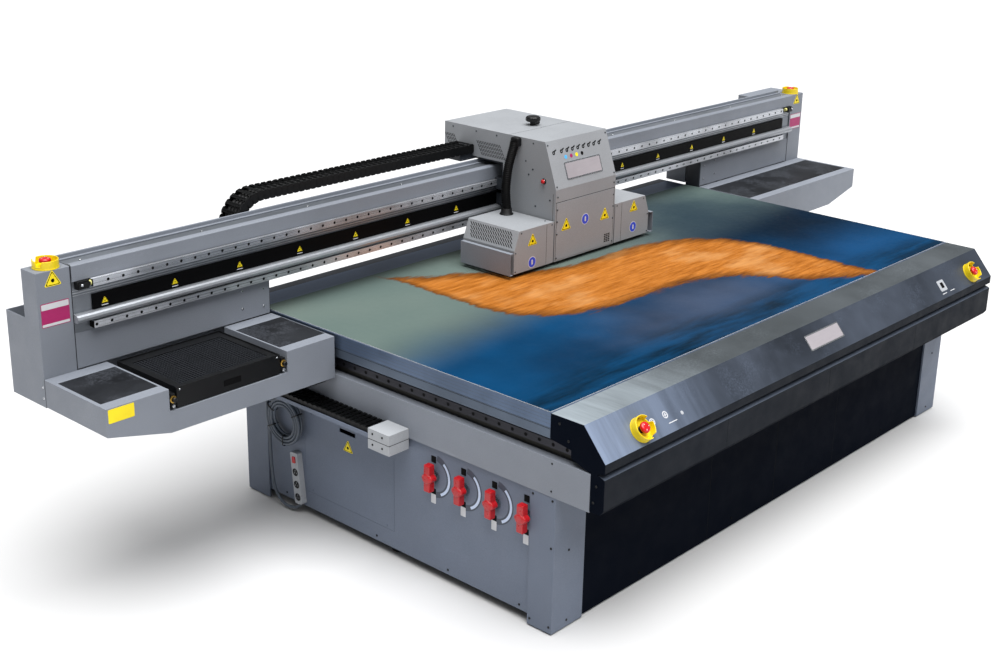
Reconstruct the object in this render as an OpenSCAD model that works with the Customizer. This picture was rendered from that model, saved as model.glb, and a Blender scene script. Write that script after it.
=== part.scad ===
// Flatbed printer: a steel base with a ribbed vacuum bed, a gantry that travels
// along the bed and a print-head carriage that travels along the gantry.
// X runs along the gantry, Y from the console to the back, Z up, floor at Z = 0.

/* [Base] */
// Width of the base over its leg covers
base_w = 2800; // [2790:1:2810]
// Depth of the base from the leg faces to its back
base_d = 1625; // [1615:1:1635]
// Height of the bed's top face above the floor
bed_z = 814; // [810:1:818]
// Thickness of the ribbed vacuum bed
bed_t = 51; // [46:1:56]
// Thickness of the printed board on the bed
board_t = 3; // [2:1:5]

/* [Console] */
// Overhang of the console in front of the leg faces
console_d = 198; // [190:1:205]
// Height of the console's lower edge
console_low_z = 523; // [523:1:530]

/* [Gantry] */
// Length of the gantry over its end towers
gantry_w = 4770; // [4760:1:4780]
// Width of one end tower
tower_w = 128; // [120:1:136]
// Height of the towers' top
tower_z = 1185; // [1180:1:1190]
// Depth of the side platforms in front of the towers
platform_d = 362; // [355:1:366]

/* [Carriage] */
// Width of the head cover
head_w = 405; // [400:1:410]
// Centre of the carriage at rest, from the middle of the machine
head_x = 12; // [0:1:30]
// Height of the head cover's top
head_z = 1344; // [1340:1:1350]
// Gap between the bed and the head cover's lower edge
head_gap = 21; // [18:1:24]
// Length of a lamp box along the gantry, at its top
lamp_w = 218; // [212:1:222]

/* [Energy chains] */
// Outer radius of the chain's bend on the gantry
x_bend_r = 150; // [148:1:151]
// Outer radius of the chain's bend under the left platform
y_bend_r = 60; // [58:1:61]

/* [Sheet metal] */
// Thickness of the covers
sheet = 3; // [2:0.5:4]

/* [Hidden] */

front_y = -753;                    // plane of the front leg faces
back_y = front_y + base_d;
half_w = base_w / 2;
gantry_half = gantry_w / 2;
tower_in = gantry_half - tower_w;  // inner face of a tower
console_y = front_y - console_d;
console_top_y = front_y - 105;     // edge between the console's top and its slope
slope_low_z = 705;
slope_angle = atan2(bed_z - slope_low_z, console_top_y - console_y);
gap = 0.5;                         // joint gap between neighbouring pieces

bed_front_y = front_y + 32;
bed_back_y = back_y - 6;
bed_low_z = bed_z - bed_t;
beam_y = 677;                      // front of the gantry beam
tower_y = 674;                     // front of the towers and skirts
tower_back_y = 763;
box_back_y = 883;                  // back of the chain trough
box_z = 1013;
beam_low_z = 945;
platform_y = tower_y - platform_d;
platform_in = half_w + 15;         // inner end of a platform
platform_low_z = 650;

rail_face_x = 1357;                // outer face of the side beams, where the rails sit
rail_z0 = 684;
rail_z1 = 712;
rail_front_y = front_y - 58;
valve_z = 409;
valve_first_y = -626;
valve_pitch = 147;
panel_x = half_w - 8;

door_y = 298;                      // front face of the carriage
slope_y = 366;                     // front edge of the head cover's top
cover_back_y = 951;
head_low_z = bed_z + head_gap;
head_left = head_x - head_w / 2;
head_right = head_x + head_w / 2;
lamp_top_z = 1015;
lamp_y0 = 298;
lamp_y1 = 588;
wall_y = 600;                      // rear edge of the head cover below the beam's top
beam_clear_z = 1216;               // lower edge of the head cover behind the rails

x_chain_y0 = 769;
x_chain_y1 = 866;
x_chain_top_z = 1270;
x_link_h = 40;
x_bend_x = -1355;
x_bend_z = x_chain_top_z - x_bend_r;
x_chain_end_x = -196;
x_chain_fixed_x = 100;
y_chain_x0 = -1494;
y_chain_x1 = -1406;
y_link_h = 29;
y_chain_low_z = 524;
y_bend_y = 747;
y_chain_fixed_y = -40;
y_chain_end_y = 367;

coil_y = 607;
coil_z = 388;
coil_x = -1420;
coil_r = 82;                       // mean radius of the coil
coil_t = 44;                       // its thickness, from the inner to the outer turn
cable_d = 12;
strip_w = 42;
strip_h = 215;
strip_d = 26;
strip_y = 553;
strip_z = 156;
strip_lean = 6.5;

// The cable's hanging stretch, from the coil down and up into the power strip
drop_route = [
  [-1413.5, 705, 388], [-1415, 707, 330], [-1417, 705, 270], [-1418, 701, 205],
  [-1418, 697, 150], [-1417, 692, 105], [-1416, 680, 64], [-1414, 657, 32],
  [-1412, 625, 17], [-1410, 592, 17], [-1408, 565, 24], [-1405, 541, 44.5]
];
// The hose from the head cover's slot down to the left lamp box
hose_route = [
  [-212, 517, 1326], [-218, 517, 1302], [-232, 517, 1265], [-246, 518, 1225],
  [-256, 518, 1175], [-260, 519, 1125], [-257, 519, 1080], [-252, 519, 1045],
  [-252, 519, 1016]
];

module slab(x0, x1, y0, y1, z0, z1) {
  translate([x0, y0, z0]) cube([x1 - x0, y1 - y0, z1 - z0]);
}
module both_sides() {
  children();
  mirror([1, 0, 0]) children();
}
// A YZ outline drawn out along X, and an XZ outline drawn out along Y
module along_x(x0, x1) {
  translate([x0, 0, 0]) rotate([90, 0, 90]) linear_extrude(x1 - x0) children();
}
module along_y(y0, y1) {
  translate([0, y1, 0]) rotate([90, 0, 0]) linear_extrude(y1 - y0) children();
}
module rod_x(x0, x1, y, z, r) {
  translate([x0, y, z]) rotate([0, 90, 0]) cylinder(h = x1 - x0, r = r, $fn = 48);
}
module rod_y(x, y0, y1, z, r) {
  translate([x, y0, z]) rotate([-90, 0, 0]) cylinder(h = y1 - y0, r = r, $fn = 48);
}
module rod_z(x, y, z0, z1, r) {
  translate([x, y, z0]) cylinder(h = z1 - z0, r = r, $fn = 48);
}

// Folded sheet: a path given as points, thickened to its left by t
function unit(v) = v / norm(v);
function left_of(a, b) = let (d = unit(b - a)) [-d[1], d[0]];
function mitre(a, b, c, t) =
  let (n = left_of(a, b), m = unit(n + left_of(b, c))) b + m * t / (m * n);
function inner_point(p, i, t) =
  i == 0 ? p[0] + t * left_of(p[0], p[1])
  : i == len(p) - 1 ? p[i] + t * left_of(p[i - 1], p[i])
  : mitre(p[i - 1], p[i], p[i + 1], t);
function folded(p, t) =
  concat(p, [for (i = [len(p) - 1:-1:0]) inner_point(p, i, t)]);

// Smooth tube through a list of points, with a ring of sides at every step
function spline(a, b, c, d, t) =
  0.5 * (2 * b + (c - a) * t + (2 * a - 5 * b + 4 * c - d) * t * t
    + (3 * b - a - 3 * c + d) * t * t * t);
function pick(p, i) = p[max(0, min(len(p) - 1, i))];
function smooth(p, steps) = concat(
  [for (i = [0:len(p) - 2]) for (k = [0:steps - 1])
    spline(pick(p, i - 1), pick(p, i), pick(p, i + 1), pick(p, i + 2), k / steps)],
  [p[len(p) - 1]]);
function ring(c, dir, side, r, n) =
  let (u = unit(side - (side * dir) * dir), v = cross(dir, u))
  [for (k = [0:n - 1]) c + r * (cos(360 * k / n) * u + sin(360 * k / n) * v)];
module swept_tube(route, r, steps, side, n = 8) {
  path = smooth(route, steps);
  last = len(path) - 1;
  points = [for (i = [0:last])
    each ring(path[i], unit(pick(path, i + 1) - pick(path, i - 1)), side, r, n)];
  walls = [for (i = [0:last - 1]) for (k = [0:n - 1])
    [i * n + k, i * n + (k + 1) % n, (i + 1) * n + (k + 1) % n, (i + 1) * n + k]];
  caps = [[for (k = [n - 1:-1:0]) k], [for (k = [0:n - 1]) last * n + k]];
  polyhedron(points, concat(walls, caps), convexity = 6);
}

// ---- base ----
post_x = 1318;
post_ys = [-698, 60, 815];
post_s = 80;
low_rail_z = 60;
side_beam_z0 = 600;
side_beam_z1 = 724;
cross_z0 = bed_low_z - 81;
cross_ys = [-690, -200, 330, 826];
wall = 5;

module hollow_bar(x0, x1, y0, y1, z0, z1, axis) {
  difference() {
    slab(x0, x1, y0, y1, z0, z1);
    slab(x0 + (axis == 0 ? -1 : wall), x1 - (axis == 0 ? -1 : wall),
      y0 + (axis == 1 ? -1 : wall), y1 - (axis == 1 ? -1 : wall),
      z0 + (axis == 2 ? -1 : wall), z1 - (axis == 2 ? -1 : wall));
  }
}
module post(x, y) {
  h = post_s / 2;
  difference() {
    slab(x - h, x + h, y - h, y + h, low_rail_z, side_beam_z0 - gap);
    slab(x - h + wall, x + h - wall, y - h + wall, y + h - wall,
      low_rail_z + 12, side_beam_z0);
  }
}
module console_bracket(x) {
  along_x(x - 4, x + 4) polygon([[front_y + 22, 560], [front_y + 22, 790],
    [console_top_y - 4, 790], [console_y + 40, 700], [console_y + 40, 560]]);
}
module base_frame() {
  color("#5c6470") {
    both_sides() {
      for (y = post_ys) post(-post_x, y);
      hollow_bar(-rail_face_x, -rail_face_x + 120, rail_front_y, bed_back_y,
        side_beam_z0, side_beam_z1, 1);
      for (i = [0:1])
        hollow_bar(-post_x - 40, -post_x + 40, post_ys[i] + 40 + gap,
          post_ys[i + 1] - 40 - gap, low_rail_z, low_rail_z + post_s, 1);
    }
    for (y = cross_ys)
      hollow_bar(-rail_face_x + 121, rail_face_x - 121, y - 40, y + 40,
        cross_z0, bed_low_z - gap, 0);
    for (y = [post_ys[0], post_ys[2]])
      hollow_bar(-post_x + 40 + gap, post_x - 40 - gap, y - 40, y + 40,
        low_rail_z, low_rail_z + post_s, 0);
    hollow_bar(-post_x + 40 + gap, post_x - 40 - gap, -290, -210,
      low_rail_z, low_rail_z + post_s, 0);
    for (x = [-1200, -400, 400, 1200]) console_bracket(x);
  }
}

module levelling_feet() {
  color("#2b2d30") both_sides() for (y = post_ys) {
    rod_z(-post_x, y, 0, 14, 38);
    rod_z(-post_x, y, 14, low_rail_z, 12);
    translate([-post_x, y, 40]) cylinder(h = 16, r = 20, $fn = 6);
  }
}

leg_w = 165;
leg_d = 110;
rear_leg_d = 132;
cover_low_z = 519;
module leg_covers() {
  color("#7f8794") both_sides() {
    translate([0, 0, 5]) linear_extrude(cover_low_z - gap - 5)
      polygon(folded([[-half_w + leg_w, front_y + 12], [-half_w + leg_w, front_y],
        [-half_w, front_y], [-half_w, front_y + leg_d], [-half_w + 8, front_y + leg_d]], -sheet));
    translate([0, 0, 5]) linear_extrude(cover_low_z - gap - 5)
      polygon(folded([[-half_w + 8, back_y - rear_leg_d], [-half_w, back_y - rear_leg_d],
        [-half_w, back_y], [-half_w + leg_w, back_y], [-half_w + leg_w, back_y - 14]], -sheet));
  }
}

// The opening in the left panel behind the access cover
hatch_y0 = 23;
hatch_y1 = 522;
hatch_z0 = 109;
hatch_z1 = 455;
panel_y0 = front_y + leg_d + gap;
panel_y1 = back_y - rear_leg_d - gap;
panel_z0 = 39;
panel_z1 = 596;
module side_panels() {
  color("#767e8a") {
    difference() {
      slab(-panel_x, -panel_x + sheet, panel_y0, panel_y1, panel_z0, panel_z1);
      slab(-panel_x - 1, -panel_x + sheet + 1, hatch_y0, hatch_y1, hatch_z0, hatch_z1);
      for (i = [0:3])
        rod_x(-panel_x - 1, -panel_x + sheet + 1, valve_first_y + i * valve_pitch, valve_z, 13);
    }
    slab(panel_x - sheet, panel_x, panel_y0, panel_y1, panel_z0, panel_z1);
    for (s = [-1, 1])
      slab(s == 1 ? 1 : -half_w + leg_w + gap, s == 1 ? half_w - leg_w - gap : -1,
        back_y - 8 - sheet, back_y - 8, panel_z0, panel_z1);
  }
}
module access_cover() {
  screw_r = 4;
  color("#767e8a") difference() {
    slab(-panel_x, -panel_x + sheet, hatch_y0 + 1, hatch_y1 - 1, hatch_z0 + 1, hatch_z1 - 1);
    slab(-panel_x - 1, -panel_x + sheet + 1, 232, 320, 421, 438);
  }
  color("#222222") for (y = [hatch_y0 + 40, hatch_y1 - 40]) for (z = [hatch_z0 + 12, hatch_z1 - 12])
    rod_x(-panel_x - 2, -panel_x, y, z, screw_r);
}
module front_panels() {
  color("#151b2a") for (s = [-1, 1])
    slab(s == 1 ? 1 : -half_w + leg_w + gap, s == 1 ? half_w - leg_w - gap : -1,
      front_y + 8, front_y + 8 + sheet, 8, console_low_z - sheet);
}
module side_covers() {
  color("#858c97") both_sides() along_y(front_y - 142, back_y)
    polygon(folded([[-panel_x, cover_low_z], [-half_w - 2, cover_low_z],
      [-half_w - 2, 656], [-rail_face_x - 10, 656]], -sheet));
}

// ---- bed ----
rib = 8;
bed_skin = 6;
bed_cells_x = 7;
bed_cells_y = 4;
module bed_table() {
  cell_x = (base_w - rib) / bed_cells_x;
  cell_y = (bed_back_y - bed_front_y - rib) / bed_cells_y;
  color("#8b949b") difference() {
    slab(-half_w, half_w, bed_front_y, bed_back_y, bed_low_z, bed_z);
    for (i = [0:bed_cells_x - 1]) for (j = [0:bed_cells_y - 1])
      translate([-half_w + rib + i * cell_x, bed_front_y + rib + j * cell_y, bed_low_z - 1])
        cube([cell_x - rib, cell_y - rib, bed_t - bed_skin + 1]);
  }
}
rear_edge_y = back_y + 44;
module bed_edge_profiles() {
  color("#7d858f") both_sides()
    slab(-half_w, -half_w + 26, bed_front_y, bed_back_y, 725, bed_low_z - gap);
  // folded cover along the bed's back edge
  color("#5d6269") along_x(-half_w + 2, half_w - 2)
    polygon(folded([[bed_back_y + gap, 790], [bed_back_y + gap, bed_z], [rear_edge_y, bed_z],
      [rear_edge_y, bed_low_z], [rear_edge_y - 14, bed_low_z]], -sheet));
}
module printed_board() {
  color("#24577d") slab(-half_w + 5, half_w - 5, bed_front_y + 6, 745, bed_z, bed_z + board_t);
}

// ---- vacuum and electrics ----
stem_r = 10;
fit = 0.05;
manifold_x = -1150;
module vacuum_system() {
  blower_x = 250;
  blower_y = -250;
  blower_z = 335;
  color("#9aa0a6") {
    for (i = [0:3]) {
      y = valve_first_y + i * valve_pitch;
      difference() {
        union() {
          rod_x(-panel_x + sheet + gap, -1300, y, valve_z, 30);
          rod_x(-1301, manifold_x, y, valve_z, 28);
        }
        rod_x(-1400, -1350, y, valve_z, stem_r + fit);
      }
    }
    rod_y(manifold_x, valve_first_y - 40, valve_first_y + 3 * valve_pitch + 40, valve_z, 45);
    rod_x(manifold_x, blower_x, blower_y, valve_z, 45);
    rod_x(blower_x - 90, blower_x + 90, blower_y, blower_z, 170);
    rod_x(blower_x + 90, blower_x + 330, blower_y, blower_z, 95);
    slab(blower_x - 80, blower_x + 300, blower_y - 120, blower_y + 120,
      low_rail_z + post_s + gap, 180);
  }
}
module control_cabinet() {
  color("#b9bdc2") {
    difference() {
      slab(-1376, -1056, 110, 510, 145, 445);
      slab(-1380, -1059, 113, 507, 148, 442);
    }
    for (i = [0:2]) slab(-1180, -1059, 130 + i * 125, 235 + i * 125, 180, 410);
  }
}

// ---- linear guides of the gantry ----
module y_rails() {
  color("#b8bcc0") both_sides() along_y(rail_front_y, bed_back_y)
    polygon([[-rail_face_x, rail_z0], [-rail_face_x - 9, rail_z0], [-rail_face_x - 13, rail_z0 + 3],
      [-rail_face_x - 17, rail_z0], [-rail_face_x - 26, rail_z0], [-rail_face_x - 26, rail_z1],
      [-rail_face_x - 17, rail_z1], [-rail_face_x - 13, rail_z1 - 3], [-rail_face_x - 9, rail_z1],
      [-rail_face_x, rail_z1]]);
}
module y_magnet_tracks() {
  color("#4a4632") both_sides()
    slab(-rail_face_x - 7, -rail_face_x, rail_front_y, bed_back_y, 659, 679);
}

// ---- console ----
module console_shell() {
  color("#8f979b") along_x(-half_w + 2, half_w - 2)
    polygon(folded([[bed_front_y - gap, bed_z], [console_top_y, bed_z], [console_y, slope_low_z],
      [console_y, 673], [console_y + 16, 673]], sheet));
}
module console_end_plates() {
  color("#182030") both_sides() along_x(-half_w - 1, -half_w + 2)
    polygon([[bed_front_y - gap, bed_z], [console_top_y, bed_z], [console_y, slope_low_z],
      [console_y, 673], [console_y + 16, 668], [console_y + 30, 660], [console_y, 650],
      [console_y, 540], [console_y + 13, console_low_z], [front_y - 142 - gap, console_low_z],
      [front_y - 142 - gap, 656], [rail_front_y - gap, 684], [rail_front_y - gap, 712],
      [bed_front_y - gap, 725]]);
}
module console_grip_rail() {
  color("#2a3340") along_x(-half_w + 2, half_w - 2)
    polygon(folded([[console_y + 30, 671], [console_y + 30, 660], [console_y, 650],
      [console_y, 540], [console_y + 13, console_low_z], [front_y + 7, console_low_z]], sheet));
}

// ---- stop buttons ----
guard_r = 45;
guard_h = 30;
cap_r = 20;
press = 4;
stop_x = [-1175, 1246];
stop_y = front_y - 164;
stop_z = bed_z - 69;
tower_stop_x = gantry_half - 66;
tower_stop_y = 718;
module stop_guard() {
  difference() {
    cylinder(h = guard_h, r = guard_r, $fn = 64);
    translate([0, 0, 4]) cylinder(h = guard_h, r = guard_r - 5, $fn = 64);
    translate([0, 0, -1]) cylinder(h = 6, r = 13, $fn = 48);
    translate([0, 0, 12]) rotate([0, 0, 30]) translate([0, -11, 0]) cube([60, 22, 30]);
    translate([0, 0, 12]) rotate([0, 0, -60]) translate([0, -11, 0]) cube([60, 22, 30]);
  }
}
module stop_button() {
  translate([0, 0, press + 1]) cylinder(h = 20, r = 12, $fn = 48);
  translate([0, 0, 19]) cylinder(h = 9, r = cap_r, $fn = 48);
  translate([0, 0, 28]) cylinder(h = 5, r1 = cap_r, r2 = cap_r - 5, $fn = 48);
}
module on_slope(i) {
  translate([stop_x[i], stop_y, stop_z + 0.2]) rotate([slope_angle, 0, 0]) children();
}
module on_tower(s) {
  translate([s * tower_stop_x, tower_stop_y, tower_z]) rotate([0, 0, 90 - s * 90]) children();
}
module console_stop_guards() {
  color("#f5d90a") for (i = [0, 1]) on_slope(i) stop_guard();
}
module console_stop_left() {
  color("#d01822") on_slope(0) stop_button();
}
module console_stop_right() {
  color("#d01822") on_slope(1) stop_button();
}
module tower_stop_guards() {
  color("#f5d90a") for (s = [-1, 1]) on_tower(s) stop_guard();
}
module tower_stop_left() {
  color("#d01822") on_tower(-1) stop_button();
}
module tower_stop_right() {
  color("#d01822") on_tower(1) stop_button();
}

// ---- vacuum valve handles ----
handle_x0 = -half_w - 34;
handle_x1 = -half_w - 6;
lobe = 52;
module valve_handle(i) {
  color("#cf1620") translate([0, valve_first_y + i * valve_pitch, valve_z]) {
    rod_x(handle_x1, -1352, 0, 0, stem_r);
    rod_x(handle_x0 - 4, handle_x1, 0, 0, 19);
    difference() {
      slab(handle_x0, handle_x1, -13, 13, -lobe, lobe);
      for (s = [-1, 1]) rod_x(handle_x0 - 1, handle_x1 + 1, s * 28, 32, 16);
      for (s = [-1, 1]) rod_x(handle_x0 - 1, handle_x1 + 1, s * 28, -32, 16);
    }
  }
}
module valve_handle_1() {
  valve_handle(0);
}
module valve_handle_2() {
  valve_handle(1);
}
module valve_handle_3() {
  valve_handle(2);
}
module valve_handle_4() {
  valve_handle(3);
}

// ---- left side: power strip and its cable ----
module power_strip() {
  color("#e6e7e8") translate([-panel_x, strip_y, strip_z]) rotate([-strip_lean, 0, 0]) difference() {
    slab(-strip_d, 0, -strip_w / 2, strip_w / 2, -strip_h / 2, strip_h / 2);
    for (z = [-78, -26, 26]) rod_x(-strip_d - 1, -strip_d + 10, 0, z, 16);
  }
}
module cable_coil() {
  color("#59616e") translate([coil_x, coil_y, coil_z]) rotate([0, 90, 0])
    rotate_extrude($fn = 64) translate([coil_r, 0]) square([coil_t, 34], center = true);
}
module cable_drop() {
  color("#59616e") swept_tube(drop_route, cable_d / 2, 3, [1, 0, 0]);
}

// ---- energy chain of the gantry, on the left side ----
tray_lip_x = -half_w - 100;
module y_chain_tray() {
  color("#6d7580") along_y(45, back_y - 6)
    polygon(folded([[tray_lip_x, 535], [tray_lip_x, 519], [-half_w - 2 - gap, 519]], 2.5));
  color("#a2a7ae") difference() {
    slab(tray_lip_x, -half_w - 2 - gap, -65, 44, 478, 557);
    slab(tray_lip_x + 2, -half_w - 5, -63, 45, 521, 555);
    slab(tray_lip_x + 2, -half_w - 5, -63, 42, 477, 517);
  }
  // the gland where the cable leaves the tray
  color("#1a1a1a") translate([coil_x - 7, drop_route[0][1], 495]) difference() {
    cylinder(h = 23.5, r1 = 9, r2 = 13, $fn = 48);
    translate([0, 0, -1]) cylinder(h = 24, r = 6.5, $fn = 48);
  }
}
// One stretch of chain: links of the given pitch with a narrower waist between them
module chain_run(length, across, height, pitch) {
  count = floor(length / pitch);
  step = length / count;
  translate([0, 2, 2]) cube([length, across - 4, height - 4]);
  for (i = [0:count - 1]) translate([i * step + 2, 0, 0]) cube([step - 4, across, height]);
}
module y_chain_lower_run() {
  color("#17181b") translate([y_chain_x1, y_chain_fixed_y, y_chain_low_z]) rotate([0, 0, 90])
    chain_run(y_bend_y - y_chain_fixed_y - gap, y_chain_x1 - y_chain_x0, y_link_h, 30);
}
module y_chain_upper_run() {
  color("#17181b")
    translate([y_chain_x1, y_chain_end_y, y_chain_low_z + 2 * y_bend_r - y_link_h])
      rotate([0, 0, 90])
        chain_run(y_bend_y - y_chain_end_y - gap, y_chain_x1 - y_chain_x0, y_link_h, 30);
}
module y_chain_bend() {
  color("#17181b") difference() {
    rod_x(y_chain_x0, y_chain_x1, y_bend_y, y_chain_low_z + y_bend_r, y_bend_r);
    rod_x(y_chain_x0 - 1, y_chain_x1 + 1, y_bend_y, y_chain_low_z + y_bend_r, y_bend_r - y_link_h);
    slab(y_chain_x0 - 1, y_chain_x1 + 1, y_bend_y - 200, y_bend_y, 500, 700);
  }
}

// ---- gantry ----
beam_wall = 8;
trough_z = 962;
rear_box_x = 2052;
module gantry_beam() {
  color("#9ba2ab") {
    difference() {
      slab(-tower_in + 1, tower_in - 1, beam_y, tower_back_y - 4, beam_low_z, 1186);
      slab(-tower_in - 1, tower_in + 1, beam_y + beam_wall, tower_back_y - 4 - beam_wall,
        beam_low_z + beam_wall, 1060);
      slab(-tower_in - 1, tower_in + 1, beam_y + beam_wall, tower_back_y - 4 - beam_wall,
        1060 + beam_wall, 1186 - beam_wall);
    }
  }
}
// Fascia above the upper rail, rail ledges, tube lip, and skirts below the beam's ends
module gantry_covers() {
  color("#8a919b") {
    along_x(-tower_in + 1, tower_in - 1) polygon(folded([[beam_y - gap, 1130], [667, 1130],
      [667, 1184], [672, 1189.5], [690, 1189.5]], -sheet));
    along_x(-tower_in + 1, tower_in - 1) polygon(folded([[742, 1187], [758, 1187], [758, 1199],
      [tower_back_y + 2, 1199]], sheet));
    along_x(-tower_in + 1, tower_in - 1)
      polygon([[beam_y - gap, 984], [beam_y - gap, 1013.5], [664, 1013.5], [655, 1011],
        [649, 1006], [646, 998], [648, 991], [654, 985], [658, 984]]);
    both_sides() {
      slab(-tower_in + 1, -platform_in - 7, tower_y, tower_y + sheet, 817, beam_low_z - gap);
      slab(-tower_in + 1, -plate_in - 26, tower_back_y - 8, tower_back_y - 5, 700, beam_low_z - gap);
      difference() {
        slab(-tower_in + 1, -platform_in, tower_back_y + 1, box_back_y, bed_z + 6, trough_z - 1);
        slab(-tower_in + 1 + sheet, -platform_in - sheet, tower_back_y + 1 + sheet,
          box_back_y - sheet, bed_z, trough_z - 1 - sheet);
      }
    }
  }
}
module end_towers() {
  color("#7f8791") both_sides() {
    difference() {
      along_x(-gantry_half, -tower_in) polygon([[tower_y, 709], [box_back_y, 709],
        [box_back_y, box_z], [tower_back_y, box_z], [tower_back_y, tower_z], [tower_y, tower_z]]);
      slab(-gantry_half + sheet, -tower_in - sheet, tower_y + sheet, tower_back_y - sheet,
        709 + sheet, tower_z - sheet);
      slab(-gantry_half + sheet, -tower_in - sheet, tower_back_y + sheet, box_back_y - sheet,
        709 + sheet, box_z + 1);
      slab(-gantry_half + sheet, -tower_in + 1, tower_back_y + sheet, box_back_y - sheet,
        955, box_z + 1);
      slab(-tower_in - sheet - 1, -tower_in + 1, tower_y + 12, tower_back_y - 8, 760, 1170);
    }
  }
  // electrics box behind the right tower
  color("#7f8791") difference() {
    slab(rear_box_x, gantry_half, tower_back_y + gap, box_back_y, box_z + 1, tower_z);
    slab(rear_box_x + sheet, gantry_half - sheet, tower_back_y + gap + sheet, box_back_y - sheet,
      box_z, tower_z - sheet);
  }
}
module chain_trough() {
  color("#3a3f47") along_x(-tower_in + gap, tower_in - gap)
    polygon(folded([[tower_back_y + 1, box_z - 20], [tower_back_y + 1, trough_z],
      [box_back_y, trough_z], [box_back_y, box_z]], sheet));
  color("#3a3f47") slab(x_chain_fixed_x + gap, x_chain_fixed_x + 30, x_chain_y0, x_chain_y1,
    trough_z + sheet, x_bend_z - x_bend_r + x_link_h);
}
kink_x = 2140;
recess_x0 = -2142;
recess_x1 = -1639;
recess_z = 733;
module platform_outline() {
  polygon([[-gantry_half, 713], [-kink_x, 655], [-platform_in, platform_low_z],
    [-platform_in, bed_z - 1], [-gantry_half, bed_z - 1]]);
}
module platform_inside() {
  polygon([[-gantry_half + sheet, 713 + sheet], [-kink_x, 655 + sheet],
    [-platform_in + 50, platform_low_z + sheet], [-platform_in + 50, bed_z - 1 - sheet],
    [-gantry_half + sheet, bed_z - 1 - sheet]]);
}
module platform_shell() {
  difference() {
    along_y(platform_y, tower_y - gap) platform_outline();
    along_y(platform_y + sheet, tower_y + 1) platform_inside();
    slab(-platform_in - 51, -platform_in + 1, platform_y + sheet, tower_y + 1, platform_low_z - 1,
      bed_z - 1 - sheet);
  }
}
insert_y0 = platform_y + 50;
insert_y1 = tower_y - 60;
module platforms() {
  color("#8b929c") {
    difference() {
      platform_shell();
      slab(recess_x0, recess_x1, platform_y - 1, tower_y + 1, recess_z, bed_z);
      slab(-2370, recess_x0 - 8, insert_y0, insert_y1, bed_z - 3, bed_z);
      slab(recess_x1 + 8, -platform_in - 3, insert_y0, insert_y1, bed_z - 3, bed_z);
    }
    difference() {
      slab(recess_x0 - sheet, recess_x1 + sheet, platform_y + sheet, tower_y - gap,
        recess_z - sheet, bed_z - 1 - sheet);
      slab(recess_x0, recess_x1, platform_y - 1, tower_y, recess_z, bed_z);
    }
    difference() {
      mirror([1, 0, 0]) platform_shell();
      slab(platform_in + 3, 2370, insert_y0, insert_y1, bed_z - 3, bed_z);
    }
  }
}
module platform_inserts() {
  color("#3b3f46") {
    slab(-2369.5, recess_x0 - 8.5, insert_y0 + gap, insert_y1 - gap, bed_z - 3, bed_z - 1);
    slab(recess_x1 + 8.5, -platform_in - 3.5, insert_y0 + gap, insert_y1 - gap, bed_z - 3, bed_z - 1);
    slab(platform_in + 3.5, 2369.5, insert_y0 + gap, insert_y1 - gap, bed_z - 3, bed_z - 1);
  }
}
// Side plates under the beam, with the bearing blocks that run on the side rails
block_len = 96;
block_gap = 0.4;
plate_in = platform_in + 2;
module bearing_block_y(y) {
  along_y(y - block_len / 2, y + block_len / 2) difference() {
    polygon([[-plate_in - 1, 672], [-rail_face_x - 8, 672], [-rail_face_x - 8, 682.5],
      [-rail_face_x - 8, 722], [-plate_in - 1, 722]]);
    translate([-rail_face_x - 26 - block_gap, rail_z0 - block_gap])
      square([40, rail_z1 - rail_z0 + 2 * block_gap]);
  }
}
module gantry_trucks() {
  color("#4b5058") both_sides() {
    along_x(-plate_in - 24, -plate_in) polygon([[platform_y + sheet + 1, 655],
      [tower_back_y - 4, 655], [tower_back_y - 4, beam_low_z - gap], [tower_y + sheet + 1,
      beam_low_z - gap], [tower_y + sheet + 1, 808], [platform_y + sheet + 1, 808]]);
    for (y = [platform_y + 90, tower_y + 20]) bearing_block_y(y);
    slab(-plate_in - 1, -rail_face_x - 9, 450, 640, 660, 671);
  }
  color("#4b5058") slab(y_chain_x0, y_chain_x1 - 20, y_chain_end_y - 20, y_chain_end_y + 30,
    y_chain_low_z + 2 * y_bend_r + 0.3, platform_low_z);
}
module x_rail(z, y, x0, x1) {
  h = 12.5;
  along_x(x0, x1) polygon([[y + 26, z - h], [y + 17, z - h], [y + 13, z - h + 3], [y + 9, z - h],
    [y, z - h], [y, z + h], [y + 9, z + h], [y + 13, z + h - 3], [y + 17, z + h], [y + 26, z + h]]);
}
upper_rail_z = 1116;
lower_rail_z = 967;
rail_y = 651;
module x_rails() {
  color("#b9bdc0") {
    x_rail(upper_rail_z, rail_y, -2186, 2150);
    x_rail(lower_rail_z, rail_y, -2193, 2176);
  }
}
module x_magnet_track() {
  color("#101113") slab(-2182, 2182, beam_y - 9, beam_y - gap, 1015, 1069);
}
module rail_bumpers() {
  color("#1a1a1a") both_sides() {
    slab(-2244, -2200, rail_y + 2, beam_y - gap, 1101, 1129);
    rod_x(-2200, -2187, rail_y + 12, upper_rail_z, 9);
  }
}

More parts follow.
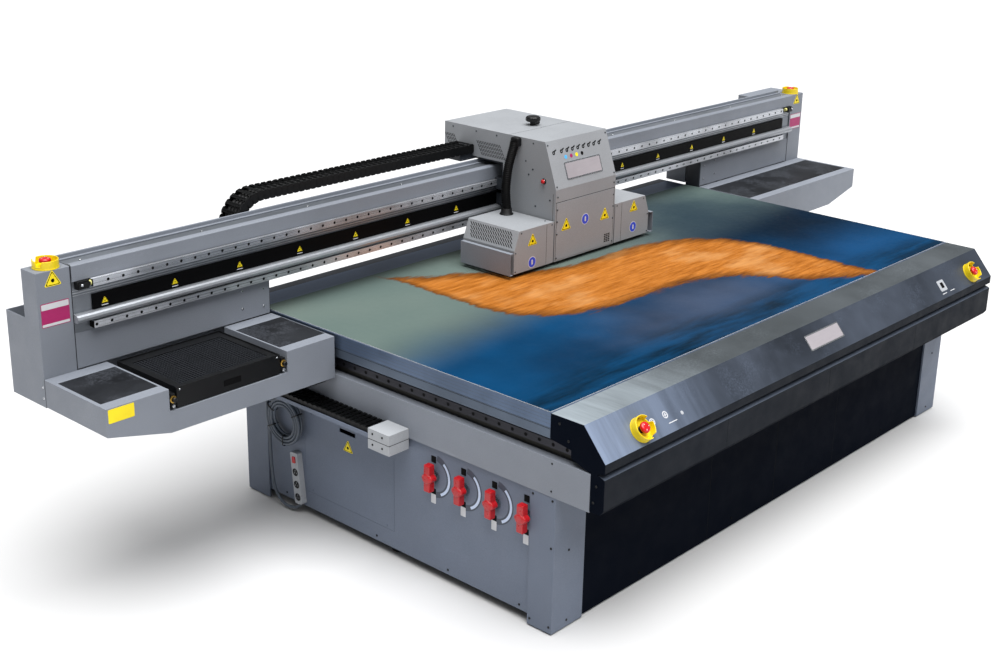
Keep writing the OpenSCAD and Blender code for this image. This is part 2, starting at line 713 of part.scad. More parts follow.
// ---- waste tray in the left platform ----
tray_x0 = -2110;
tray_x1 = -1671;
tray_front_y = platform_y + 3;
module waste_tray() {
  color("#2a2c30") {
    difference() {
      slab(tray_x0, tray_x1, tray_front_y, tower_y - 12, recess_z + 3, bed_z - 4);
      slab(tray_x0 + 3, tray_x1 - 3, tray_front_y + 3, tower_y - 15, recess_z + 6, bed_z);
    }
    for (s = [0, 1]) {
      x = s == 0 ? tray_x0 - 24 : tray_x1 + 8;
      slab(x, x + 16, tray_front_y, tray_front_y + 40, recess_z + 8, bed_z - 22);
      slab(s == 0 ? tray_x0 - 9 : tray_x1 - 1, s == 0 ? tray_x0 + 1 : tray_x1 + 9,
        tray_front_y + 4, tray_front_y + 40, recess_z + 10, recess_z + 40);
    }
  }
}
module tray_honeycomb() {
  pitch = 40;
  color("#16171a") difference() {
    slab(tray_x0 + 3.5, tray_x1 - 3.5, tray_front_y + 3.5, tower_y - 15.5,
      recess_z + 6, bed_z - 6);
    for (x = [tray_x0 + 16:pitch:tray_x1 - 50]) for (y = [tray_front_y + 16:pitch:tower_y - 60])
      translate([x, y, bed_z - 26]) cube([pitch - 4, pitch - 4, 30]);
  }
}

// ---- energy chain of the carriage, above and behind the beam ----
module x_chain_upper_run() {
  color("#17181b") translate([x_bend_x + gap, x_chain_y0, x_chain_top_z - x_link_h])
    chain_run(x_chain_end_x - x_bend_x - gap, x_chain_y1 - x_chain_y0, x_link_h, 45);
}
module x_chain_lower_run() {
  color("#17181b") translate([x_bend_x + gap, x_chain_y0, x_bend_z - x_bend_r])
    chain_run(x_chain_fixed_x - x_bend_x - gap, x_chain_y1 - x_chain_y0, x_link_h, 45);
}
module x_chain_bend() {
  color("#17181b") difference() {
    rod_y(x_bend_x, x_chain_y0, x_chain_y1, x_bend_z, x_bend_r);
    rod_y(x_bend_x, x_chain_y0 - 1, x_chain_y1 + 1, x_bend_z, x_bend_r - x_link_h);
    slab(x_bend_x, x_bend_x + 400, x_chain_y0 - 1, x_chain_y1 + 1, 900, 1400);
  }
}

// ---- carriage slider ----
slide_x0 = head_left + 14;
slide_x1 = head_right - 14;
jack_x = 120;
module x_slider() {
  color("#2d3035") {
    // closed screw jacks that lift the head, on brackets
    for (x = [head_x - jack_x, head_x + jack_x]) {
      rod_z(x, 590, 960, 1180, 13);
      for (z = [990, 1120]) slab(x - 20, x + 20, 592, 605, z, z + 30);
    }
    slab(slide_x0, slide_x1, 604, 619, 938, 1205);
    for (x = [slide_x0 + 4, slide_x1 - 94]) {
      along_x(x, x + 90) polygon([[618, 1088], [661, 1088], [661, 1103.1 - gap],
        [rail_y - block_gap, 1103.1 - gap], [rail_y - block_gap, 1129], [661, 1129],
        [661, 1136], [618, 1136]]);
      along_x(x, x + 90) polygon([[618, 944], [661, 944], [661, 954.1 - gap],
        [rail_y - block_gap, 954.1 - gap], [rail_y - block_gap, 980], [653, 980], [653, 984],
        [618, 984]]);
    }
    slab(slide_x0 + 20, slide_x1 - 20, 618, beam_y - 11, 1018, 1066);
    // arm over the beam, and the seat of the energy chain
    slab(slide_x0, slide_x1, 604, x_chain_y1, 1204, 1212);
    slab(head_left - 84, slide_x0 + 1, x_chain_y0 + 4, x_chain_y1 - 4, 1204, 1212);
    slab(head_left - 84, head_left - 4, x_chain_y0 + 8, x_chain_y1 - 8, 1211, 1229);
  }
}

// ---- head ----
module head_section() {
  polygon([[door_y, head_low_z], [door_y, 1149], [slope_y, head_z], [cover_back_y, head_z],
    [cover_back_y, beam_clear_z], [wall_y, beam_clear_z], [wall_y, head_low_z]]);
}
knob_x = 30;
knob_y = 627;
knob_stem_r = 8;
button_y = 366;
button_z = 1176;
button_r = 11;
button_stem_r = 8;
module head_cover() {
  color("#a8abaf") difference() {
    union() {
      along_x(head_left + sheet, head_right - sheet)
        polygon(folded([[door_y, head_low_z], [door_y, 1149], [slope_y, head_z],
          [cover_back_y, head_z], [cover_back_y, beam_clear_z]], -sheet));
      for (x = [head_left, head_right - sheet]) along_x(x, x + sheet) head_section();
    }
    rod_z(knob_x, knob_y, head_z - sheet - 1, head_z + 1, knob_stem_r + fit);
    rod_x(head_left - 1, head_left + sheet + 1, button_y, button_z, button_stem_r + fit);
  }
}
// Outline of the left lamp box seen from the front, mirrored for the right one
lamp_skirt_z = 936;
lamp_out = 30;
module lamp_outline() {
  x = head_left - 7;
  polygon(folded([[x, lamp_top_z], [x - lamp_w, lamp_top_z], [x - lamp_w - lamp_out, lamp_skirt_z],
    [x - lamp_w - lamp_out, head_low_z]], sheet));
}
module lamp_side() {
  x = head_left - 7;
  polygon([[x, head_low_z], [x, lamp_top_z], [x - lamp_w, lamp_top_z],
    [x - lamp_w - lamp_out, lamp_skirt_z], [x - lamp_w - lamp_out, head_low_z]]);
}
module left_and_right_of_head() {
  children();
  translate([2 * head_x, 0, 0]) mirror([1, 0, 0]) children();
}
module lamp_boxes() {
  color("#8e9399") left_and_right_of_head() {
    along_y(lamp_y0 + sheet, lamp_y1 - sheet) lamp_outline();
    along_y(lamp_y0, lamp_y0 + sheet) lamp_side();
    along_y(lamp_y1 - sheet, lamp_y1) lamp_side();
    slab(head_left - 7 - sheet, head_left - 7, lamp_y0, lamp_y1, head_low_z, lamp_top_z);
    slab(head_left - 7, head_left, lamp_y0 + 20, lamp_y1 - 20, lamp_top_z - 30, lamp_top_z - 10);
  }
}
module uv_lamps() {
  color("#2c2f36") left_and_right_of_head() {
    slab(head_left - 170, head_left - 50, lamp_y0 + 30, lamp_y1 - 30, head_low_z + 8, head_low_z + 110);
    for (y = [lamp_y0 + 50, lamp_y1 - 90])
      slab(head_left - 150, head_left - 70, y, y + 40, head_low_z + 110, lamp_top_z - sheet);
  }
}
module lamp_bumper() {
  x = head_left - 7 - lamp_w - lamp_out;
  color("#6f757d") along_y(lamp_y0 - 5, lamp_y1 - 13)
    polygon(folded([[x - 10, 930], [x - 29, 930], [x - 29, head_low_z], [x - 10, head_low_z]], sheet));
}
module lamp_bumper_left() {
  lamp_bumper();
}
module lamp_bumper_right() {
  translate([2 * head_x, 0, 0]) mirror([1, 0, 0]) lamp_bumper();
}
module print_heads() {
  color("#4f5560") {
    slab(head_left + sheet, head_right - sheet, door_y + sheet + 1, 596,
      head_low_z + 14, head_low_z + 24);
    for (i = [0:3]) for (j = [0:1])
      slab(head_x - 160 + i * 85, head_x - 110 + i * 85, 330 + j * 135, 430 + j * 135,
        head_low_z + 3, head_low_z + 90);
  }
}
module ink_tanks() {
  color("#e8e8e4") for (i = [0:3]) {
    x = head_x - 165 + i * 85;
    slab(x, x + 62, 330, 430, 990, 1120);
    rod_z(x + 31, 380, 1120, 1134, 20);
  }
  color("#7c828a") slab(head_left + sheet, head_right - sheet, 320, 440, 984, 990);
}
module lamp_hose() {
  color("#141416") swept_tube(hose_route, 20, 3, [0, 1, 0], 12);
}
module cover_knob() {
  color("#121214") translate([knob_x, knob_y, head_z + 0.4]) {
    translate([0, 0, -12]) cylinder(h = 13, r = knob_stem_r, $fn = 48);
    cylinder(h = 20, r = 13, $fn = 48);
    translate([0, 0, 16]) cylinder(h = 18, r = 33, $fn = 64);
    translate([0, 0, 34]) cylinder(h = 5, r1 = 33, r2 = 27, $fn = 64);
    slab(8, 40, -6, 6, 2, 12);
  }
}
module carriage_button() {
  color("#c8101a") translate([head_left, button_y, button_z]) rotate([0, -90, 0]) {
    translate([0, 0, -sheet - 5]) cylinder(h = sheet + 10, r = button_stem_r, $fn = 48);
    translate([0, 0, 4]) cylinder(h = 6, r = button_r, $fn = 48);
    translate([0, 0, 10]) cylinder(h = 4, r1 = button_r, r2 = button_r - 3, $fn = 48);
  }
}

base_frame();
levelling_feet();
leg_covers();
side_panels();
access_cover();
front_panels();
side_covers();
bed_table();
bed_edge_profiles();
printed_board();
vacuum_system();
control_cabinet();
y_rails();
y_magnet_tracks();
console_shell();
console_end_plates();
console_grip_rail();
console_stop_guards();
console_stop_left();
console_stop_right();
valve_handle_1();
valve_handle_2();
valve_handle_3();
valve_handle_4();
power_strip();
cable_coil();
cable_drop();
y_chain_tray();
y_chain_lower_run();
y_chain_bend();
y_chain_upper_run();
gantry_beam();
gantry_covers();
end_towers();
chain_trough();
platforms();
platform_inserts();
gantry_trucks();
x_rails();
x_magnet_track();
rail_bumpers();
tower_stop_guards();
tower_stop_left();
tower_stop_right();
waste_tray();
tray_honeycomb();
x_chain_lower_run();
x_chain_bend();
x_chain_upper_run();
x_slider();
head_cover();
lamp_boxes();
uv_lamps();
lamp_bumper_left();
lamp_bumper_right();
print_heads();
ink_tanks();
lamp_hose();
cover_knob();
carriage_button();
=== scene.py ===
import math

import bpy
from mathutils import Matrix, Vector


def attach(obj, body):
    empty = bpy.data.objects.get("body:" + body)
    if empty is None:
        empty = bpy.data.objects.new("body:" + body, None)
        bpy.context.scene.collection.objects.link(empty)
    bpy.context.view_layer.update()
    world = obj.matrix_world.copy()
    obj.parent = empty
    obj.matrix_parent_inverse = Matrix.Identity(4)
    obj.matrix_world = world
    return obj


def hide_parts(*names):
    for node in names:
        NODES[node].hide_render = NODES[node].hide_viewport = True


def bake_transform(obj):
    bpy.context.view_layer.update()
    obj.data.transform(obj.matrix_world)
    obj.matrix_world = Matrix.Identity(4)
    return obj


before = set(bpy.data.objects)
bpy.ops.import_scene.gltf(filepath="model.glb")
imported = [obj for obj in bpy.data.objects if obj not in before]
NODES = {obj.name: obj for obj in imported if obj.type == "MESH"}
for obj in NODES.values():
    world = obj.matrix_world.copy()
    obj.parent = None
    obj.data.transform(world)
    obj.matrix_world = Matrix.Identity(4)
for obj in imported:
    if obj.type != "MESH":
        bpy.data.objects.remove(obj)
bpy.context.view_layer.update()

# Dimensions of the machine in millimetres, in the row frame
HALF_W, FRONT, BACK, BED_Z = 1400, -753, 872, 814
CONSOLE_Y, CONSOLE_TOP_Y, SLOPE_LOW = -951, -858, 705
TOWER_IN, GANTRY_HALF, TOWER_Y, TOWER_Z = 2257, 2385, 674, 1185
PLATFORM_Y = 312
SIDE_X = -1392  # face of the left side panels
HEAD_X, HEAD_L, HEAD_R = 12, -190.5, 214.5
HEAD_TOP, DOOR_Y, SLOPE_Y, VISOR_Z, DOOR_SKIN = 1344, 298, 366, 1149, 1.2
RAIL_Y, UPPER_RAIL_Z, LOWER_RAIL_Z, HOLE_PITCH = 651, 1116, 967, 60
VALVE_YS, VALVE_Z = (-626, -479, -332, -185), 409
TRAY_X0, TRAY_X1, TRAY_Y0, TRAY_Y1 = -2110, -1671, 315, 662


# ---------------------------------------------------------------- camera
def make_camera():
    right = Vector((0.66635, -0.74529, 0.02300))
    up = Vector((0.22736, 0.23246, 0.94566))
    back = right.cross(up)
    cam = bpy.data.objects.new("Camera", bpy.data.cameras.new("Camera"))
    bpy.context.scene.collection.objects.link(cam)
    m = Matrix((right, up, back)).transposed().to_4x4()
    m.translation = (-4.7440, -3.5046, 2.6780)
    cam.matrix_world = m
    cam.data.sensor_width = 36
    cam.data.lens = 52.5
    cam.data.shift_x, cam.data.shift_y = -0.0167, -0.0299
    cam.data.clip_end = 200
    bpy.context.scene.camera = cam


make_camera()


# ---------------------------------------------------------------- materials
def lin(h):
    """Linear RGBA from a hex colour."""
    c = [int(h[i:i + 2], 16) / 255 for i in (1, 3, 5)]
    return [x / 12.92 if x <= 0.04045 else ((x + 0.055) / 1.055) ** 2.4 for x in c] + [1]


class Nodes:
    """A material's node tree, with short calls for the nodes used here."""

    def __init__(self, name, rough=0.5, metal=0.0, **sockets):
        self.mat = bpy.data.materials.new(name)
        self.mat.use_nodes = True
        self.tree = self.mat.node_tree
        self.bsdf = self.tree.nodes["Principled BSDF"]
        self.bsdf.inputs["Roughness"].default_value = rough
        self.bsdf.inputs["Metallic"].default_value = metal
        for key, value in sockets.items():
            self.bsdf.inputs[key.replace("_", " ")].default_value = value
        self.coord = self.tree.nodes.new("ShaderNodeTexCoord").outputs["Object"]

    def put(self, value, socket):
        if isinstance(value, bpy.types.NodeSocket):
            self.tree.links.new(value, socket)
        else:
            socket.default_value = value

    def node(self, kind, settings=(), **inputs):
        """A node of that kind, its settings made first, then its inputs set or linked."""
        n = self.tree.nodes.new("ShaderNode" + kind)
        for key, value in settings:
            setattr(n, key, value)
        for key, value in inputs.items():
            self.put(value, n.inputs[key.replace("_", " ")])
        return n

    def mapped(self, scale=(1, 1, 1), shift=(0, 0, 0), turn=(0, 0, 0)):
        return self.node("Mapping", Scale=scale, Location=shift, Rotation=turn, Vector=self.coord).outputs[0]

    def noise(self, scale, detail=4, rough=0.55, vector=None, distort=0):
        return self.node("TexNoise", Scale=scale, Detail=detail, Roughness=rough, Distortion=distort,
                         Vector=vector or self.coord).outputs["Fac"]

    def span(self, value, a, b, c=0.0, d=1.0, smooth=False):
        """value from a..b mapped to c..d, clamped."""
        kind = "SMOOTHSTEP" if smooth else "LINEAR"
        return self.node("MapRange", [("interpolation_type", kind)], Value=value, From_Min=a, From_Max=b,
                         To_Min=c, To_Max=d).outputs["Result"]

    def math(self, op, a, b=0.0):
        n = self.node("Math", [("operation", op)])
        self.put(a, n.inputs[0])
        self.put(b, n.inputs[1])
        return n.outputs[0]

    def times(self, a, b):
        return self.math("MULTIPLY", a, b)

    def plus(self, a, b):
        return self.math("ADD", a, b)

    def minus(self, a, b):
        return self.math("SUBTRACT", a, b)

    def mix(self, fac, a, b, mode="MIX"):
        settings = [("data_type", "RGBA"), ("blend_type", mode)]
        return self.node("Mix", settings, Factor=fac, A=a, B=b).outputs["Result"]

    def axes(self):
        return self.node("SeparateXYZ", Vector=self.coord).outputs

    def colour(self, value):
        self.put(value, self.bsdf.inputs["Base Color"])

    def rough(self, value):
        self.put(value, self.bsdf.inputs["Roughness"])

    def bump(self, height, strength=0.2, distance=0.001):
        n = self.node("Bump", Strength=strength, Distance=distance, Height=height)
        self.put(n.outputs[0], self.bsdf.inputs["Normal"])


def shade(rgba, k):
    return [x * k for x in rgba[:3]] + [1]


def powder(name, hexa, rough=0.5, vary=0.07, gloss=0.4):
    """Fine-textured powder coat with slight clouding and faint scuffs."""
    m = Nodes(name, Specular_IOR_Level=gloss)
    c = lin(hexa)
    base = m.mix(m.span(m.noise(1.6, 4), 0.35, 0.65), shade(c, 1 - vary), shade(c, 1 + vary))
    speck = m.mix(m.span(m.noise(420, 2), 0.3, 0.7), [0.82, 0.82, 0.82, 1], [1, 1, 1, 1])
    tone = m.mix(1.0, base, speck, "MULTIPLY")
    scuff = m.span(m.noise(9, 8, 0.7, m.mapped((1, 0.25, 3))), 0.66, 0.74)
    m.colour(m.mix(m.times(scuff, 0.2), tone, shade(c, 1.5)))
    m.rough(m.span(m.noise(14, 4), 0.3, 0.7, rough - 0.06, rough + 0.1))
    m.bump(m.noise(900, 3, 0.7), 0.12, 0.0006)
    return m.mat


def metal(name, hexa, rough=0.3, stretch=(1, 60, 60), vary=0.16, metallic=0.9, patchy=0.35):
    """Ground or brushed metal, its grain drawn out along the axis with the small stretch."""
    m = Nodes(name, metal=metallic)
    c = lin(hexa)
    grain = m.noise(20, 4, 0.6, m.mapped(stretch))
    cloud = m.noise(2.2, 5, 0.6)
    tone = m.mix(m.span(grain, 0.3, 0.7), shade(c, 1 - vary), shade(c, 1 + vary))
    m.colour(m.mix(m.times(m.span(cloud, 0.42, 0.58), patchy), tone, shade(c, 0.35)))
    m.rough(m.span(grain, 0.3, 0.7, rough - 0.07, rough + 0.12))
    m.bump(grain, 0.1, 0.0004)
    return m.mat


def mottled(name, light, dark, rough, metallic, scale=3.0, gloss=0.5, wear=0.35, painted_left_highlight=False):
    """Galvanised sheet: soft clouds, a dusting of worn flecks and long fine scratches, and if asked a painted
    highlight towards the left end.
    """
    m = Nodes(name, metal=metallic, Specular_IOR_Level=gloss)
    cloud = m.noise(scale, 6, 0.55, distort=0.4)
    fleck = m.noise(130, 6, 0.7)
    worn = m.times(m.span(m.noise(scale * 1.7, 5, 0.65, m.mapped(shift=(4, 2, 1))), 0.5, 0.64), wear)
    dust = m.times(worn, m.span(fleck, 0.46, 0.6))
    scratch = m.span(m.noise(26, 6, 0.75, m.mapped((1, 14, 14), turn=(0, 0, 0.35))), 0.67, 0.72)
    tone = m.mix(m.span(cloud, 0.34, 0.66), lin(dark), lin(light))
    tone = m.mix(dust, tone, shade(lin(light), 1.7))
    if painted_left_highlight:
        # painted highlight: the zinc is painted brighter towards the left end, in streaks down the fold
        end = m.span(m.axes()[0], -1.4, -0.55, 1, 0, smooth=True)
        drawn = m.span(m.noise(5, 4, 0.6, m.mapped((3, 0.3, 0.3))), 0.35, 0.65, 0.5, 1)
        tone = m.mix(m.times(end, drawn), tone, shade(lin(light), 4.2))
    m.colour(m.mix(m.times(scratch, 0.35), tone, shade(lin(light), 1.6)))
    m.rough(m.span(cloud, 0.3, 0.7, rough - 0.08, rough + 0.12))
    m.bump(m.plus(cloud, m.times(fleck, 0.3)), 0.1, 0.001)
    return m.mat


def plastic(name, hexa, rough=0.35, coat=0.0, grain=500, gloss=0.45):
    m = Nodes(name, Coat_Weight=coat, Specular_IOR_Level=gloss)
    c = lin(hexa)
    m.colour(m.mix(m.span(m.noise(12, 3), 0.3, 0.7), shade(c, 0.9), shade(c, 1.06)))
    m.rough(m.span(m.noise(60, 4), 0.3, 0.7, rough - 0.06, rough + 0.1))
    m.bump(m.noise(grain, 2), 0.08, 0.0004)
    return m.mat


def picture(name):
    """A generic printed picture: a teal-grey to deep blue wash with one soft amber brush stroke."""
    m = Nodes(name, rough=0.45, Specular_IOR_Level=0.02)
    x, y, _ = m.axes()

    def near(cx, cy, radius, stretch=1.0):
        """1 at a point of the board, fading to 0 at the radius."""
        dx = m.times(m.minus(x, cx), stretch)
        dy = m.minus(y, cy)
        d = m.math("SQRT", m.plus(m.times(dx, dx), m.times(dy, dy)))
        d = m.plus(d, m.times(m.minus(m.noise(2.2, 3), 0.5), 0.5))
        return m.span(d, 0.0, radius, 1, 0, smooth=True)

    wash = m.mix(m.span(m.noise(1.3, 3), 0.35, 0.65), lin("#02182c"), lin("#06385c"))
    wash = m.mix(near(1.15, 0.1, 0.95, 0.8), wash, lin("#04111e"))
    wash = m.mix(near(0.95, -0.75, 0.7, 0.7), wash, lin("#134069"))
    wash = m.mix(m.times(near(-0.15, -0.5, 0.5, 0.6), 0.8), wash, lin("#3c4659"))
    band = m.plus(y, m.times(m.noise(1.2, 2), 0.3))
    streak = m.noise(4, 5, 0.6, m.mapped((0.5, 3, 1), (1.2, 5.5, 0)))
    shore = m.mix(m.span(streak, 0.4, 0.62), lin("#02141f"), lin("#063556"))
    wash = m.mix(m.span(band, -0.52, -0.32, 0.8, 0, smooth=True), wash, shore)
    rise = m.plus(y, m.times(x, -0.1))
    wash = m.mix(m.span(rise, -0.12, 0.34, smooth=True), wash,
                 m.mix(m.span(m.noise(0.9, 2), 0.35, 0.65), lin("#53615d"), lin("#667069")))
    wash = m.mix(m.times(near(0.85, 0.35, 0.6, 0.7), 0.8), wash, lin("#0b1f30"))

    # the stroke runs along a slanted axis and swings to both sides of it
    slanted = m.mapped(shift=(0.05, 0.02, 0), turn=(0, 0, 0.63))
    along, across, _ = m.node("SeparateXYZ", Vector=slanted).outputs
    swing = m.times(m.math("SINE", m.times(along, 3.6)), 0.19)
    frayed = m.times(m.minus(m.noise(14, 6, 0.7, m.mapped((0.5, 2, 1))), 0.5), 0.14)
    off = m.math("ABSOLUTE", m.plus(m.minus(across, swing), frayed))
    half = m.span(m.math("ABSOLUTE", m.minus(along, 0.06)), 0.58, 1.14, 0.29, 0.0, smooth=True)
    depth = m.minus(half, off)
    inside = m.span(depth, -0.01, 0.025, smooth=True)
    hair = m.noise(30, 6, 0.7, m.mapped((0.25, 2.4, 1), turn=(0, 0, 0.5)))
    amber = m.mix(m.span(hair, 0.35, 0.65), lin("#7d450f"), lin("#a8692c"))
    cream = m.noise(2.4, 4, 0.6, m.mapped((0.8, 1.6, 1), (4.4, 2.2, 0)))
    amber = m.mix(m.span(cream, 0.5, 0.68, 0, 0.5, smooth=True), amber, lin("#b98a57"))
    amber = m.mix(m.span(depth, 0.01, 0.09, 0.75, 0), amber, lin("#2a1406"))
    m.colour(m.mix(inside, wash, amber))
    m.rough(m.span(m.noise(35, 4), 0.3, 0.7, 0.32, 0.44))
    m.bump(m.noise(420, 2), 0.05, 0.0003)
    return m.mat


MAT = {
    "panel": powder("panel_paint", "#646d7d"),
    "shell": powder("cover_paint", "#8f9296"),
    "tower": powder("tower_paint", "#7b8089"),
    "frame": powder("frame_enamel", "#3d434a", 0.4),
    "navy": powder("navy_paint", "#070c16", 0.65, 0.08, 0.02),
    "slate": powder("slate_paint", "#0f141c", 0.55, 0.08, 0.08),
    "slate_edge": powder("slate_edge_paint", "#434a56", 0.42, 0.1, 0.3),
    "black_paint": powder("black_paint", "#08090b", 0.42, 0.2, 0.3),
    "truck": powder("truck_enamel", "#2c3036", 0.45, 0.1, 0.3),
    "cabinet": powder("cabinet_enamel", "#97999d", 0.45),
    "white_cap": powder("chain_end_paint", "#a2a5a9", 0.45),
    "bed": metal("bed_aluminium", "#5d6d85", 0.36, (60, 1, 60), 0.1, 0.7),
    "edge": metal("edge_aluminium", "#5d6877", 0.4, (60, 1, 60), 0.1, 0.7),
    "beam": metal("beam_aluminium", "#7c8188", 0.42, (1, 60, 60), 0.1, 0.7),
    "tube": metal("lip_aluminium", "#a9adb3", 0.3, (1, 90, 90), 0.06, 0.6, 0.1),
    "rail_x": metal("rail_steel_x", "#bcbfc5", 0.26, (0.1, 25, 25), 0.12, 0.6, 0.7),
    "rail_y": metal("rail_steel_y", "#28282f", 0.36, (50, 1, 50), 0.2, 0.6),
    "steel": metal("bright_steel", "#c9ccd0", 0.2, (40, 40, 40), 0.1),
    "brass": metal("brass", "#c19a4a", 0.25, (40, 40, 40), 0.12),
    "foot": metal("foot_steel", "#2c2d30", 0.4, (30, 30, 30)),
    "blower": metal("cast_aluminium", "#9a9da0", 0.5, (20, 20, 20)),
    "module": metal("head_module", "#5a616c", 0.35, (30, 30, 30)),
    "lamp": metal("lamp_module", "#2c2f36", 0.35, (30, 30, 30)),
    "insert": mottled("platform_insert", "#26282c", "#0f1012", 0.45, 0.1, 4, 0.14, 3.0),
    # painted shade: a darker mottled sheet colour stands for the shade on the bed's rear strip
    "painted_shade_rear": mottled("bed_rear_painted_shade", "#3f434a", "#292c31", 0.4, 0.4, 2.5, 0.35, 0.4),
    # True here paints a highlight towards the left end of the console's top and slope
    "console_top": mottled("galvanised_top", "#565c60", "#3e4447", 0.38, 0.5, 1.6, 0.5, 0.5, True),
    "console_slope": mottled("galvanised_slope", "#3c434f", "#22272f", 0.4, 0.2, 2.6, 0.35, 0.5, True),
    "film": plastic("magnet_film", "#040405", 0.45, gloss=0.06),
    "olive": plastic("olive_film", "#1c1a10", 0.5),
    "grid": plastic("grid_plastic", "#212327", 0.5, gloss=0.2),
    "dark": plastic("dark_gap", "#050506", 0.7, gloss=0.1),
    "chain": plastic("chain_plastic", "#08090a", 0.42, gloss=0.22),
    "rubber": plastic("black_rubber", "#08080a", 0.5, gloss=0.3),
    "hose": plastic("hose_rubber", "#050506", 0.45, gloss=0.12),
    "sheath": plastic("grey_sheath", "#4c545f", 0.42),
    "red": plastic("red_plastic", "#b50b14", 0.3, 0.2),
    "valve": plastic("valve_plastic", "#a80a13", 0.3, 0.2),
    "yellow": plastic("yellow_plastic", "#e0c408", 0.35, 0.1),
    "sign": plastic("sign_yellow", "#ead20c", 0.4),
    "cream": plastic("cream_rubber", "#c6c27a", 0.5),
    "white": plastic("white_plastic", "#9fa2a7", 0.32),
    "label": plastic("label_white", "#c2c3c6", 0.4),
    "magenta": plastic("label_magenta", "#9c1459", 0.4),
    "blue": plastic("patch_blue", "#2a47c4", 0.38),
    "cyan": plastic("dot_cyan", "#4aa8e0", 0.4),
    "arc_blue": plastic("arc_blue", "#b9c6dc", 0.38),
    "plate": metal("name_plate", "#a8a2a7", 0.4, (1, 40, 40), 0.06, 0.3, 0.15),
    "tank": plastic("tank_plastic", "#e4e3dd", 0.4),
    "knob": plastic("knob_plastic", "#070709", 0.4, gloss=0.35),
    "print": picture("printed_picture"),
}


# ---------------------------------------------------------------- mesh building
def axes_at(origin, x, y, z):
    """A frame at that point with these three directions."""
    m = Matrix((x, y, z)).transposed().to_4x4()
    m.translation = origin
    return m


def plane(origin, x, y):
    """Local X and Y along the given directions and local Z out of the surface."""
    x, y = Vector(x).normalized(), Vector(y).normalized()
    return axes_at(origin, x, y, x.cross(y))


def facing_side(s, x, y, z):
    """On a surface that faces left (s = -1) or right (s = 1)."""
    return plane((x, y, z), (0, s, 0), (0, 0, 1))


def facing_left(x, y, z):
    return facing_side(-1, x, y, z)


def facing_front(x, y, z):
    return plane((x, y, z), (1, 0, 0), (0, 0, 1))


def facing_up(x, y, z):
    return plane((x, y, z), (1, 0, 0), (0, 1, 0))


def on_console(x, along):
    """A point on the console's slope, along it from its lower edge."""
    rise = Vector((0, CONSOLE_TOP_Y - CONSOLE_Y, BED_Z - SLOPE_LOW)).normalized()
    return plane(Vector((x, CONSOLE_Y, SLOPE_LOW)) + rise * along, (1, 0, 0), rise)


def on_visor(x, along):
    """A point on the head's sloping front, along it from its lower edge."""
    rise = Vector((0, SLOPE_Y - DOOR_Y, HEAD_TOP - VISOR_Z)).normalized()
    return plane(Vector((x, DOOR_Y, VISOR_Z)) + rise * along, (1, 0, 0), rise)


def ring_faces(rings, n, closed=False):
    """Faces between rings of n points; a closed stack joins its last ring to its first."""
    pairs = [(a, (a + 1) % rings) for a in range(rings if closed else rings - 1)]
    return [(a * n + i, a * n + (i + 1) % n, b * n + (i + 1) % n, b * n + i)
            for a, b in pairs for i in range(n)]


def end_caps(rings, n):
    return [list(range(n))[::-1], list(range((rings - 1) * n, rings * n))]


